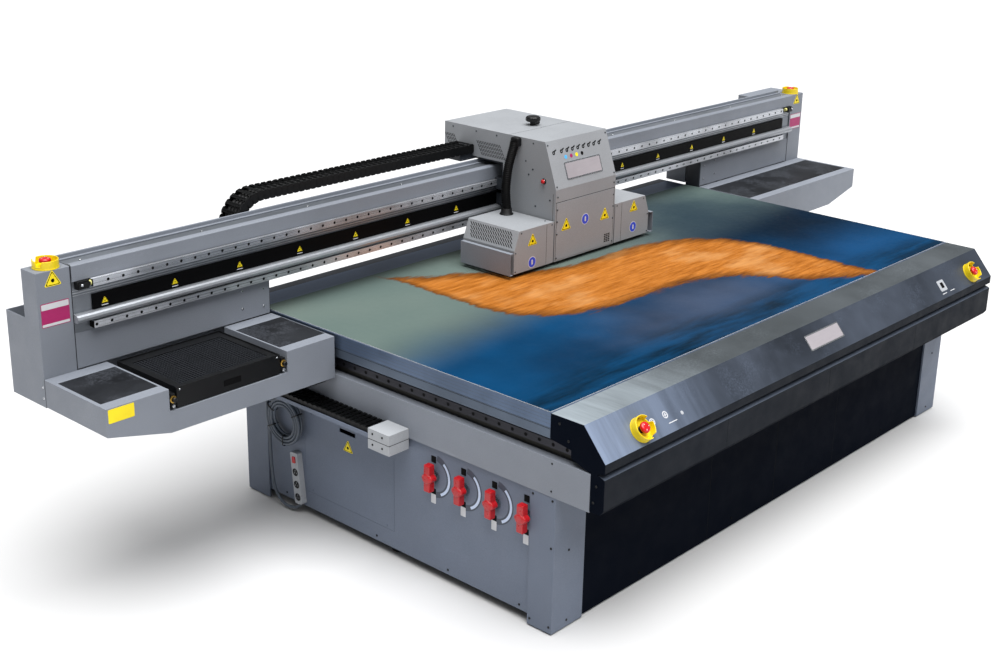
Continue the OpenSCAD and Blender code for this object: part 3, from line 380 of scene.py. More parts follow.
class Kit:
    """Collects solids, given in millimetres, into one mesh object in metres."""

    def __init__(self):
        self.verts, self.faces, self.mats, self.round = [], [], [], []

    def add(self, verts, faces, mat=0, smooth=False, at=None):
        base = len(self.verts)
        at = at or Matrix.Identity(4)
        self.verts += [(at @ Vector(v)) * 0.001 for v in verts]
        for f in faces:
            self.faces.append([base + i for i in f])
            self.mats.append(mat)
            self.round.append(smooth)

    def box(self, x0, x1, y0, y1, z0, z1, mat=0, at=None):
        v = [(x, y, z) for z in (z0, z1) for y in (y0, y1) for x in (x0, x1)]
        f = [(0, 2, 3, 1), (4, 5, 7, 6), (0, 1, 5, 4), (2, 6, 7, 3), (0, 4, 6, 2), (1, 3, 7, 5)]
        self.add(v, f, mat, at=at)

    def prism(self, outline, z0, z1, mat=0, at=None, smooth=False):
        n = len(outline)
        v = [(x, y, z) for z in (z0, z1) for x, y in outline]
        self.add(v, end_caps(2, n), mat, False, at)
        base = len(self.verts) - 2 * n
        for i in range(n):
            j = (i + 1) % n
            self.faces.append([base + i, base + j, base + n + j, base + n + i])
            self.mats.append(mat)
            self.round.append(smooth)

    def lathe(self, profile, mat=0, at=None, sides=32, smooth=True, closed=False):
        """profile is (radius, z) pairs from the bottom up; the ends are capped unless it is closed."""
        n, k = sides, len(profile)
        v = [(r * math.cos(2 * math.pi * i / n), r * math.sin(2 * math.pi * i / n), z)
             for r, z in profile for i in range(n)]
        self.add(v, ring_faces(k, n, closed), mat, smooth, at)
        if not closed:
            base = len(self.verts) - n * k
            for ring, order in ((0, -1), (k - 1, 1)):
                self.faces.append([base + ring * n + i for i in range(n)][::order])
                self.mats.append(mat)
                self.round.append(False)

    def tube(self, path, radii, mat=0, sides=12, side=(0, 1, 0)):
        """A tube along points, with one radius or one for each point."""
        path = [Vector(p) for p in path]
        if not hasattr(radii, "__len__"):
            radii = [radii] * len(path)
        v = []
        for i, p in enumerate(path):
            d = (path[min(i + 1, len(path) - 1)] - path[max(i - 1, 0)]).normalized()
            u = (Vector(side) - Vector(side).dot(d) * d).normalized()
            w = d.cross(u)
            for k in range(sides):
                a = 2 * math.pi * k / sides
                v.append(p + radii[i] * (math.cos(a) * u + math.sin(a) * w))
        self.add(v, ring_faces(len(path), sides), mat, True)
        self.add(v[:sides], [list(range(sides))[::-1]], mat)
        self.add(v[-sides:], [list(range(sides))], mat)

    def screw(self, at, r=5.0, mat=0, dark=1):
        """A button-head screw with a dark socket."""
        self.lathe([(r, 0), (r, r * 0.25), (r * 0.8, r * 0.5)], mat, at, 16)
        self.lathe([(r * 0.42, r * 0.5), (r * 0.42, r * 0.53)], dark, at, 6, False)

    def make(self, name, body, mats, bevel=0.0, segments=2, slot=None):
        mesh = bpy.data.meshes.new(name)
        mesh.from_pydata(self.verts, [], self.faces)
        mesh.polygons.foreach_set("material_index", self.mats)
        mesh.polygons.foreach_set("use_smooth", self.round)
        for m in mats:
            mesh.materials.append(MAT[m])
        obj = bpy.data.objects.new(name, mesh)
        bpy.context.scene.collection.objects.link(obj)
        if bevel:
            b = obj.modifiers.new("bevel", "BEVEL")
            b.width, b.segments, b.limit_method = bevel * 0.001, segments, "ANGLE"
            b.angle_limit = math.radians(40)
        if body:
            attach(obj, body)
        return obj


def rounded(w, h, r, steps=4):
    """Outline of a rectangle of that width and height with round corners, centred."""
    out = []
    for cx, cy, a0 in ((w / 2 - r, h / 2 - r, 0), (-w / 2 + r, h / 2 - r, 90),
                       (-w / 2 + r, -h / 2 + r, 180), (w / 2 - r, -h / 2 + r, 270)):
        for i in range(steps + 1):
            a = math.radians(a0 + 90 * i / steps)
            out.append((cx + r * math.cos(a), cy + r * math.sin(a)))
    return out


def smooth_path(points, steps):
    """Catmull-Rom curve through the points."""
    p = [Vector(q) for q in points]
    out = []
    for i in range(len(p) - 1):
        a, b, c, d = p[max(i - 1, 0)], p[i], p[i + 1], p[min(i + 2, len(p) - 1)]
        for k in range(steps):
            t = k / steps
            out.append(0.5 * (2 * b + (c - a) * t + (2 * a - 5 * b + 4 * c - d) * t * t
                              + (3 * b - a - 3 * c + d) * t ** 3))
    return out + [p[-1]]


def path_length(path):
    return sum((Vector(b) - Vector(a)).length for a, b in zip(path, path[1:]))


# ---------------------------------------------------------------- cords
COIL = (-1427, -1413.5, 607, 388)  # the two layers' X, and the coil's centre
COIL_R, COIL_EXIT_Z = 98.0, 518  # radius of the outer turn, and the height where the lead leaves its gland
DROP = [(-1415, 707, 330), (-1417, 705, 270), (-1418, 701, 205), (-1418, 697, 150), (-1417, 692, 105),
        (-1416, 680, 64), (-1414, 657, 32), (-1412, 625, 17), (-1410, 592, 17), (-1408, 565, 24),
        (-1405, 541, 44.5), (-1405, 537, 56)]


def coil_path():
    """From the gland under the chain tray, round the coil in two layers, and down to the power strip."""
    x_out, x_in, yc, zc = COIL
    turns, outer, pitch, cross = 6, COIL_R, 12.6, 0.5
    spiral = (turns - cross) / 2
    path = [Vector((x_out, yc + outer, z)) for z in (COIL_EXIT_Z, 500, 480, 455, 430, 409)]
    steps = 40
    for i in range(turns * steps + 1):
        t = i / steps
        if t < spiral:
            r, x = outer - pitch * t, x_out
        elif t < spiral + cross:
            r = outer - pitch * spiral
            s = (t - spiral) / cross
            x = x_out + (x_in - x_out) * s * s * (3 - 2 * s)
        else:
            r, x = outer - pitch * (turns - t), x_in
        a = math.pi / 2 + 2 * math.pi * t
        path.append(Vector((x, yc + r * math.sin(a), zc + r * math.cos(a))))
    return path + smooth_path([path[-1]] + [Vector(p) for p in DROP], 6)[1:]


def curve_piece(name, path, radius, body, mat):
    data = bpy.data.curves.new(name, "CURVE")
    data.dimensions = "3D"
    data.bevel_depth = radius * 0.001
    data.bevel_resolution = 4
    data.use_fill_caps = True
    line = data.splines.new("POLY")
    line.points.add(len(path) - 1)
    for q, p in zip(line.points, path):
        q.co = (*(Vector(p) * 0.001), 1)
    data.materials.append(MAT[mat])
    obj = bpy.data.objects.new(name, data)
    bpy.context.scene.collection.objects.link(obj)
    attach(obj, body)
    return obj


def make_lead():
    path = coil_path()
    lead = curve_piece("cable_lead", path, 6, "base", "sheath")
    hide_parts("cable_coil", "cable_drop")

    x_out, x_in, yc, zc = COIL
    k = Kit()
    for angle in (62, 118, 180, 300):
        a = math.radians(angle)
        at = plane(((x_out + x_in) / 2, yc + 83 * math.sin(a), zc + 83 * math.cos(a)),
                   (1, 0, 0), (0, math.sin(a), math.cos(a)))
        ring = rounded(31, 47, 9)
        inner = rounded(28, 44, 8)
        n = len(ring)
        v = [(p[0], p[1], z) for z in (-2.5, 2.5) for p in ring + inner]
        f = []
        for i in range(n):
            j = (i + 1) % n
            f += [(i, j, 2 * n + j, 2 * n + i), (n + j, n + i, 3 * n + i, 3 * n + j),
                  (j, i, n + i, n + j), (2 * n + i, 2 * n + j, 3 * n + j, 3 * n + i)]
        k.add(v, f, 0, False, at)
    ties = k.make("cable_ties", "base", ["rubber"], 0.4, slot="cable_grey")
    k = Kit()
    k.lathe([(9, -26), (8.5, -24), (10, -6), (13, -5), (13, 0)], 0,
            facing_up(x_out, yc + COIL_R, COIL_EXIT_Z + 0.5), 24)
    gland = k.make("cable_gland", "base", ["rubber"], slot="cable_grey")
    path_length(path) * 0.001


def make_hose():
    route = smooth_path([(-212, 517, 1326), (-218, 517, 1302), (-232, 517, 1265), (-246, 518, 1225),
                         (-256, 518, 1175), (-260, 519, 1125), (-257, 519, 1080), (-252, 519, 1045),
                         (-252, 519, 1016)], 24)
    rib = 2.0  # a point every 2 mm, and four points to each corrugation
    spaced, gone, at = [route[0]], 0.0, rib
    for a, b in zip(route, route[1:]):
        step = (b - a).length
        while gone + step >= at:
            spaced.append(a.lerp(b, (at - gone) / step))
            at += rib
        gone += step
    spaced.append(route[-1])
    k = Kit()
    radii = [19.2 + 1.4 * math.cos(2 * math.pi * i / 4) for i in range(len(spaced))]
    k.tube(spaced, radii, 0, 28)
    hose = k.make("lamp_hose_corrugated", "head", ["hose"], slot="hose_black")
    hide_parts("lamp_hose")
    k = Kit()
    k.prism(rounded(42, 40, 8), 0, 26, 0, facing_left(HEAD_L, 517, 1323))
    boot = k.make("hose_boot", "head", ["rubber"], 5, 3, "hose_black")
    k = Kit()
    k.lathe([(30, 0), (30, 3), (25, 8), (22.5, 26), (21.5, 27)], 0, facing_up(-252, 519, 1015), 32)
    collar = k.make("hose_collar", "head", ["rubber"], 0.8, slot="hose_black")
    path_length(spaced) * 0.001
    [tuple(p * 0.001) for p in spaced]


make_lead()
make_hose()


# ---------------------------------------------------------------- CAD nodes: finish and edges
FINISH = {
    "frame": "base_frame", "foot": "levelling_feet", "navy": "front_panels console_end_plates",
    "panel": "leg_covers side_panels access_cover", "bed": "bed_table", "blower": "vacuum_system",
    "tower": "side_covers end_towers platforms lamp_bumper_left lamp_bumper_right",
    "cabinet": "control_cabinet", "rail_y": "y_rails", "olive": "y_magnet_tracks",
    "beam": "gantry_beam", "truck": "chain_trough gantry_trucks x_slider", "insert": "platform_inserts",
    "rail_x": "x_rails", "film": "x_magnet_track", "black_paint": "waste_tray",
    "shell": "head_cover lamp_boxes", "lamp": "uv_lamps", "module": "print_heads", "tank": "ink_tanks",
}
SOFT_EDGES = {
    0.4: "platform_inserts", 0.5: "printed_board", 0.9: "lamp_bumper_left lamp_bumper_right",
    0.8: "side_panels access_cover front_panels console_end_plates x_magnet_track waste_tray y_chain_tray "
         "control_cabinet",
    1.0: "bed_edge_profiles console_grip_rail", 1.2: "leg_covers side_covers lamp_boxes",
    1.4: "end_towers platforms",
}


def paint(node, *mats, choose=lambda normal, centre: 0):
    """Gives a CAD node its materials; choose picks one for each face, from its normal and middle in mm."""
    mesh = NODES[node].data
    mesh.materials.clear()
    for m in mats:
        mesh.materials.append(MAT[m])
    for p in mesh.polygons:
        p.material_index = choose(p.normal, p.center * 1000)


def soften(node, width):
    """Bevels a CAD node's edges by a modifier; its mesh keeps its shape."""
    o = NODES[node]
    if "custom_normal" in o.data.attributes:
        o.data.attributes.remove(o.data.attributes["custom_normal"])
    o.data.polygons.foreach_set("use_smooth", [False] * len(o.data.polygons))
    weld = o.modifiers.new("weld", "WELD")
    weld.merge_threshold = 0.00002
    edge = o.modifiers.new("edge", "BEVEL")
    edge.width, edge.segments, edge.limit_method = width * 0.001, 2, "ANGLE"
    edge.angle_limit = math.radians(35)


for finish, names in FINISH.items():
    for name in names.split():
        paint(name, finish)
for width, names in SOFT_EDGES.items():
    for name in names.split():
        soften(name, width)

paint("printed_board", "label", "print", choose=lambda n, c: 1 if n.z > 0.9 else 0)
paint("console_shell", "console_slope", "console_top", "slate",
      choose=lambda n, c: 1 if n.z > 0.9 and c.z > 800 else 2 if c.z < 700 else 0)
paint("console_grip_rail", "slate", "slate_edge", "navy",
      choose=lambda n, c: 1 if n.z > 0.3 and c.z > 640 else 2 if n.z < -0.3 else 0)
paint("gantry_covers", "tower", "tube", choose=lambda n, c: 1 if 980 < c.z < 1014.5 and c.y < 680 else 0)
# painted shade: the rearmost faces of the bed edge get the darker rear colour
paint("bed_edge_profiles", "edge", "painted_shade_rear", choose=lambda n, c: 1 if c.y > 866.2 else 0)
paint("rail_bumpers", "rubber", "cream", choose=lambda n, c: 1 if abs(c.x) < 2199.5 else 0)
paint("y_chain_tray", "panel", "white_cap", choose=lambda n, c: 1 if c.y < 44.5 else 0)


# ---------------------------------------------------------------- energy chains
LANES = (-0.3, -0.1, 0.1, 0.3)  # the cables in a chain, as parts of its width


def link(k, place, length, across, height):
    """One link along local X, its middle at the origin: two side plates, cross bars and pins."""
    half, h, w = length / 2, height / 2, across / 2
    plate = [(-half - 3, -h + 6), (-half + 4, -h), (half - 4, -h), (half + 3, -h + 6),
             (half + 3, h - 6), (half - 4, h), (-half + 4, h), (-half - 3, h - 6)]
    side = plane((0, 0, 0), (1, 0, 0), (0, 0, 1))
    for s in (-1, 1):
        for near, far, grow in ((0, 5, 0.0), (4.5, 8, -3.5)):
            out = [(x * (1 + grow / half), z * (1 + grow / h)) for x, z in plate]
            lo, hi = sorted((s * (w - near), s * (w - far)))
            k.prism(out, -hi, -lo, 0, place @ side)
        k.lathe([(h * 0.34, 0), (h * 0.34, 1.2), (h * 0.2, 1.8)], 0,
                place @ plane((half - 2, s * (w - 1.6), 0), (s, 0, 0), (0, 0, 1)), 12)
    for z in (-1, 1):
        k.box(-half * 0.72, half * 0.34, -w + 4, w - 4, z * h - (3 if z > 0 else 0),
              z * h + (0 if z > 0 else 3), 0, place)
        k.box(-half * 0.5, half * 0.1, -w + 9, w - 9, z * (h - 2) - 2, z * (h - 2) + 2, 0, place)


def straight_chain(name, start, direction, length, across, height, pitch, up=(0, 0, 1)):
    k = Kit()
    d = Vector(direction)
    side = Vector(up).cross(d)
    count = round(length / pitch)
    step = length / count
    for i in range(count):
        place = axes_at(Vector(start) + d * (step * (i + 0.5)), d, side, Vector(up))
        link(k, place, step - 4.6, across, height)
    m = axes_at(Vector(start), d, side, Vector(up))
    for lane in LANES:
        k.tube([m @ Vector((x, lane * across, 0)) for x in (1, length / 2, length - 1)], height * 0.24,
               1, 10, side)
    return k.make(name, None, ["chain", "rubber"])


def bent_chain(name, body, centre, radius, across, height, count, in_x):
    """Half a turn of links; it bulges towards -X, or towards +Y."""
    k = Kit()
    c = Vector(centre)
    out = Vector((-1, 0, 0)) if in_x else Vector((0, 1, 0))
    mid = radius - height / 2
    for i in range(count):
        a = math.pi * (i + 0.5) / count
        up = math.cos(a) * Vector((0, 0, 1)) + math.sin(a) * out
        d = math.sin(a) * Vector((0, 0, 1)) - math.cos(a) * out
        link(k, axes_at(c + up * mid, d, up.cross(d), up), math.pi * mid / count - 4.2, across, height)
    side = Vector((0, 1, 0)) if in_x else Vector((1, 0, 0))
    for lane in LANES:
        arc = [c + side * lane * across + (mid * math.cos(math.pi * i / 18)) * Vector((0, 0, 1))
               + (mid * math.sin(math.pi * i / 18)) * out for i in range(19)]
        k.tube(arc, height * 0.24, 1, 10, side)
    return k.make(name, body, ["chain", "rubber"], slot="chain_black")


def make_chains():
    y0, y1, top, h, r = 769, 866, 1270, 40, 150
    bend_x, end_x, fixed_x = -1355, -196, 100
    across, mid_y = y1 - y0, (y0 + y1) / 2
    upper = straight_chain("x_chain_links_upper", (bend_x, mid_y, top - h / 2), (1, 0, 0),
                           end_x - bend_x, across, h, 29)
    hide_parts("x_chain_upper_run")
    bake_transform(upper)
    lower = straight_chain("x_chain_links_lower", (bend_x, mid_y, top - 2 * r + h / 2), (1, 0, 0),
                           fixed_x - bend_x, across, h, 29)
    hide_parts("x_chain_lower_run")
    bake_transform(lower)
    bend = bent_chain("x_chain_links_bend", "x_chain_loop", (bend_x, mid_y, top - r), r, across, h, 14, True)
    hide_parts("x_chain_bend")

    x0, x1, low, h, r = -1494, -1406, 524, 29, 60
    bend_y, fixed_y, end_y = 747, -40, 367
    across, mid_x = x1 - x0, (x0 + x1) / 2
    lower = straight_chain("y_chain_links_lower", (mid_x, fixed_y, low + h / 2), (0, 1, 0),
                           bend_y - fixed_y, across, h, 26)
    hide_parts("y_chain_lower_run")
    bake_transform(lower)
    upper = straight_chain("y_chain_links_upper", (mid_x, end_y, low + 2 * r - h / 2), (0, 1, 0),
                           bend_y - end_y, across, h, 26)
    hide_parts("y_chain_upper_run")
    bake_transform(upper)
    bend = bent_chain("y_chain_links_bend", "y_chain_loop", (mid_x, bend_y, low + r), r, across, h, 5, False)
    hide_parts("y_chain_bend")


make_chains()


# ---------------------------------------------------------------- buttons, valves, knobs
def stop_frames():
    yield "console_button_left", "base", "console_stop_left", on_console(-1175, 52.6)
    yield "console_button_right", "base", "console_stop_right", on_console(1246, 52.6)
    for name, s in (("left", -1), ("right", 1)):
        x = Vector((s, 0, 0))
        at = plane((s * (GANTRY_HALF - 66), 718, TOWER_Z), x, Vector((0, 0, 1)).cross(x))
        yield "tower_button_" + name, "gantry", "tower_stop_" + name, at


def guard(k, at):
    """A yellow collar with a flared base and two finger notches."""
    n, notches = 64, (30, -60)
    rings = [(45, 0), (45, 3), (44, 5), (44, 29), (42.5, 30), (41, 29), (40, 4), (13, 4), (13, 0)]

    def height(i, z):
        a = 360 * i / n
        for c in notches:
            if abs((a - c + 180) % 360 - 180) < 15 and z > 12:
                return 12
        return z

    v = [(r * math.cos(2 * math.pi * i / n), r * math.sin(2 * math.pi * i / n), height(i, z))
         for r, z in rings for i in range(n)]
    k.add(v, ring_faces(len(rings), n, True), 0, False, at)


def make_stops():
    kits = {"base": Kit(), "gantry": Kit()}
    for body, parent, node, at in stop_frames():
        guard(kits[parent], at)
        k = Kit()
        k.lathe([(12, 6), (12, 19)], 1, at, 32)
        k.lathe([(15, 18.5), (19, 19.5), (20, 22), (20, 26), (18.6, 29.5), (15, 31.8), (9, 32.7), (3, 33)],
                0, at, 48)
        for i in range(3):
            a = math.radians(120 * i)
            k.box(9, 14, -1.2, 1.2, 32.0, 32.7, 2, at @ Matrix.Rotation(a, 4, "Z"))
        b = k.make(node + "_mushroom", body, ["red", "dark", "label"], slot="button_red")
        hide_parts(node)
    for parent, node in (("base", "console_stop_guards"), ("gantry", "tower_stop_guards")):
        g = kits[parent].make(node + "_collars", parent, ["yellow"], 0.7, slot="guard_yellow")
        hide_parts(node)


def make_valves():
    for i, y in enumerate(VALVE_YS):
        at = facing_left(-HALF_W - 20, y, VALVE_Z)
        k = Kit()
        outline = []
        for j in range(96):
            a = 2 * math.pi * j / 96
            c, q = abs(math.cos(a)), abs(math.sin(a))
            bar = min(14.5 / max(c, 1e-6), 52 / max(q, 1e-6))
            r = max(26 - 5 * math.sin(2 * a) ** 2, bar if q > 0.6 else 0)
            outline.append((r * math.cos(a), max(-52, min(52, r * math.sin(a)))))
        n = len(outline)
        layers = [(outline, -13), (outline, 9), ([(x * 0.96, q * 0.98) for x, q in outline], 12.5),
                  ([(x * 0.8, q * 0.93) for x, q in outline], 14)]
        v = [(x, q, z) for pts, z in layers for x, q in pts]
        k.add(v, ring_faces(len(layers), n) + end_caps(len(layers), n), 0, False, at)
        k.lathe([(21, -12), (21, 10), (19, 14), (16, 17.2), (6, 18)], 0, at, 36)
        k.lathe([(10, -68), (10, -12)], 2, at, 28)
        h = k.make("valve_grip_%d" % (i + 1), "valve_%d" % (i + 1), ["valve", "dark", "steel"], 1.6,
                   slot="valve_red")
        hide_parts("valve_handle_%d" % (i + 1))


def make_knob():
    at = facing_up(30, 627, HEAD_TOP + 0.4)
    k = Kit()
    k.lathe([(8, -12), (8, 0.2), (13, 0.4), (13, 15), (17, 17)], 0, at, 32)
    n, sides = 12, 96
    prof = [(18, 16), (29, 17), (33, 21), (33, 31), (31, 36), (26, 39), (12, 38.6), (10, 37.2), (2, 37.2)]
    v = []
    for r, z in prof:
        for i in range(sides):
            a = 2 * math.pi * i / sides
            rr = r - (1.4 * (0.5 + 0.5 * math.cos(n * a)) if r > 28 else 0)
            v.append((rr * math.cos(a), rr * math.sin(a), z))
    k.add(v, ring_faces(len(prof), sides) + end_caps(len(prof), sides), 0, True, at)
    k.box(8, 40, -6, 6, 2, 12, 0, at)
    obj = k.make("cover_knob_fluted", "knob", ["knob"], 0.8, slot="knob_black")
    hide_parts("cover_knob")

    at = facing_left(HEAD_L, 366, 1176)
    k = Kit()
    k.lathe([(8, -8), (8, 4)], 1, at, 24)
    k.lathe([(8, 4), (9, 5), (9, 10), (7.8, 12.6), (5, 13.8), (2, 14)], 0, at, 36)
    obj = k.make("head_push_button", "head_button", ["red", "steel"], slot="button_red")
    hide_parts("carriage_button")
    k = Kit()
    k.lathe([(12.5, 0), (12.5, 1.6), (11, 3.2), (9.8, 3.2), (9.8, 0)], 0, at, 36, True, True)
    k.make("head_button_bezel", "head", ["black_paint"], slot="cover_grey")


make_stops()
make_valves()
make_knob()


# ---------------------------------------------------------------- gantry details
def triangle(k, at, size, mat, line, thick=0.5):
    """A plain triangular patch, one corner up, with a dark line inside its edge and a dot."""
    for scale, what, lift in ((1.0, mat, 0.0), (0.86, line, 0.25), (0.74, mat, 0.5)):
        r, out = size * scale * 0.06, []
        for a0 in (90, 210, 330):
            reach = size * scale * 0.577 - 2 * r
            c = Vector((math.cos(math.radians(a0)), math.sin(math.radians(a0)))) * reach
            for da in (-60, -20, 20, 60):
                a = math.radians(a0 + da)
                out.append((c.x + r * math.cos(a), c.y + r * math.sin(a)))
        k.prism(out, 0, thick + lift, what, at)
    disc(k, at, size * 0.1, line, thick + 0.7, 20)


def disc(k, at, r, mat, thick=0.5, sides=32):
    k.lathe([(r, 0), (r, thick)], mat, at, sides, False)


def rail_holes():
    k = Kit()
    for z, x0, x1, first in ((UPPER_RAIL_Z, -2186, 2150, 58), (LOWER_RAIL_Z, -2193, 2176, 9)):
        x = x0 + first
        while x < x1 - 8:
            at = facing_front(x, RAIL_Y, z)
            k.lathe([(6.6, 0), (6.6, 0.2), (5.6, 0.2), (5.6, 0)], 0, at, 24, False, True)
            disc(k, at, 5.6, 1, 0.1, 24)
            x += HOLE_PITCH
        for x, s in ((x0, -1), (x1, 1)):
            lo, hi = sorted((x, x + s * 2.5))
            k.box(lo, hi, RAIL_Y + 1, RAIL_Y + 25, z - 11.5, z + 11.5, 1)
    k.make("x_rail_counterbores", "gantry", ["rail_x", "dark"], slot="rail_steel")
    k = Kit()
    for s in (-1, 1):
        y = -811 + 30
        while y < BACK - 20:
            at = facing_side(s, s * 1383, y, 698)
            k.lathe([(8, 0), (8, 0.25), (6.8, 0.25), (6.8, 0)], 0, at, 20, False, True)
            disc(k, at, 6.8, 1, 0.12, 20)
            y += HOLE_PITCH
    k.make("y_rail_counterbores", "base", ["rail_y", "dark"], slot="rail_steel")


def gantry_details():
    k = Kit()
    for i in range(15):
        triangle(k, facing_front(-2136 + 288 * i, 668, 1038), 26, 0, 2, 0.4)
        k.prism(rounded(26, 3, 1), 0, 0.3, 1, facing_front(-2136 + 288 * i, 668, 1023))
    k.make("strip_marks", "gantry", ["sign", "label", "dark"], slot="magnet_film")

    k = Kit()
    for s in (-1, 1):
        triangle(k, facing_front(s * 2323, TOWER_Y, 1150), 66, 0, 3)
        at = facing_front(s * 2322, TOWER_Y, 1034)
        k.prism(rounded(106, 84, 4), 0, 0.5, 1, at)
        k.prism(rounded(102, 20, 2), 0.5, 0.8, 2, at @ Matrix.Translation((0, 29, 0)))
        k.prism(rounded(102, 9, 2), 0.5, 0.8, 2, at @ Matrix.Translation((0, -35, 0)))
    k.prism(rounded(98, 48, 3), 0, 0.5, 0, facing_front(-2328, PLATFORM_Y, 784))
    k.make("blank_labels", "gantry", ["sign", "magenta", "label", "dark"], slot="panel_grey")

    k = Kit()
    for s in (-1, 1):
        x = s * GANTRY_HALF
        k.box(-0.9, 0.9, -52, 51, -0.2, 0.25, 0, facing_side(s, x, 672, 762))
        for z in (742, 782):
            k.screw(facing_side(s, x, 684, z), 4.5, 1, 0)
        k.box(s * TOWER_IN - 0.9, s * TOWER_IN + 0.9, 672.6, 674, 815, 1184, 0)
        for z in (850, 920):
            k.screw(facing_front(s * 1450, TOWER_Y, z), 4.5, 1, 0)
            k.screw(facing_front(s * 1550, TOWER_Y, z + 12), 4.5, 1, 0)
    for x in (-2200, -1700, -1200, -700, 700, 1200, 1700, 2200):
        k.screw(facing_up(x, 700, 1189.5), 4.5, 1, 0)
    k.make("gantry_seams_and_screws", "gantry", ["dark", "steel"], slot="panel_grey")

    # ribs of the extrusion between the strip and the rails
    k = Kit()
    half = TOWER_IN - 4
    for z, h in ((1086, 5), (1094, 3), (1077, 3)):
        k.prism([(-half, -h / 2), (half, -h / 2), (half, h / 2), (-half, h / 2)],
                0, 2.2, 0, facing_front(0, 677, z))
    k.make("beam_ribs", "gantry", ["tube"], 0.6, slot="beam_aluminium")

    # brackets that carry the bumpers at the ends of the upper rail
    k = Kit()
    for s in (-1, 1):
        k.prism([(-20, -10), (14, -10), (24, 0), (24, 9), (-20, 9)], -4, 6, 0,
                facing_front(s * 2222, 652, 1115))
        k.lathe([(5, 0), (5, 5), (3.6, 6.5)], 1, facing_front(s * 2232, 648, 1118), 20)
    k.make("rail_end_blocks", "gantry", ["black_paint", "steel"], 0.8, slot="bumper_rubber")


def tray_details():
    k = Kit()
    x0, x1, y0, y1 = TRAY_X0 + 32, TRAY_X1 - 32, TRAY_Y0 + 28, TRAY_Y1 - 46
    k.box(x0 - 28, x1 + 28, y0 - 24, y1 + 42, 760, 784, 0)
    for a, b, c, d in ((x0 - 28, x0, y0 - 24, y1 + 42), (x1, x1 + 28, y0 - 24, y1 + 42),
                       (x0, x1, y0 - 24, y0), (x0, x1, y1, y1 + 42)):
        k.box(a, b, c, d, 784, 806, 1)
    for i in range(31):
        x = x0 + (x1 - x0) * (i + 0.5) / 31
        k.box(x - 1.3, x + 1.3, y0, y1, 786, 804, 2)
    for i in range(20):
        y = y0 + (y1 - y0) * (i + 0.5) / 20
        k.box(x0, x1, y - 1.3, y + 1.3, 792, 804.5, 2)
    grid = k.make("tray_grid", "tray", ["dark", "black_paint", "grid"], slot="honeycomb_black")
    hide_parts("tray_honeycomb")

    k = Kit()
    k.prism(rounded(74, 22, 3), 0, 0.8, 1, facing_front(-1880, TRAY_Y0, 768))
    for x, s in ((-2126, 1), (-1655, -1)):
        k.lathe([(13, 0), (13, 3), (10, 4)], 2, facing_front(x, TRAY_Y0, 772), 28)
        k.lathe([(8, 4), (8, 8), (9, 9), (9, 13), (7, 15)], 3, facing_front(x, TRAY_Y0, 772), 28)
        k.lathe([(6, 0), (6, 4), (4.6, 5)], 4, facing_front(x, TRAY_Y0, 748), 20)
    for x in (-2098, -1683):
        k.screw(facing_front(x, TRAY_Y0, 800), 3.5, 4, 1)
    k.make("tray_latches", "tray", ["black_paint", "dark", "brass", "knob", "steel"], 0.5, slot="tray_black")


rail_holes()
gantry_details()
tray_details()


# ---------------------------------------------------------------- head details
def slots(k, at, columns, rows, dx, dy, w, h, lean, mat, skew=0.0):
    """A field of slanted slots, centred."""
    for i in range(columns):
        for j in range(rows):
            cx, cy = (i - (columns - 1) / 2) * dx, (j - (rows - 1) / 2) * dy
            cx += cy * skew
            k.prism([(cx - w / 2 - lean, cy - h / 2), (cx + w / 2 - lean, cy - h / 2),
                     (cx + w / 2 + lean, cy + h / 2), (cx - w / 2 + lean, cy + h / 2)], -0.3, 0.25, mat, at)


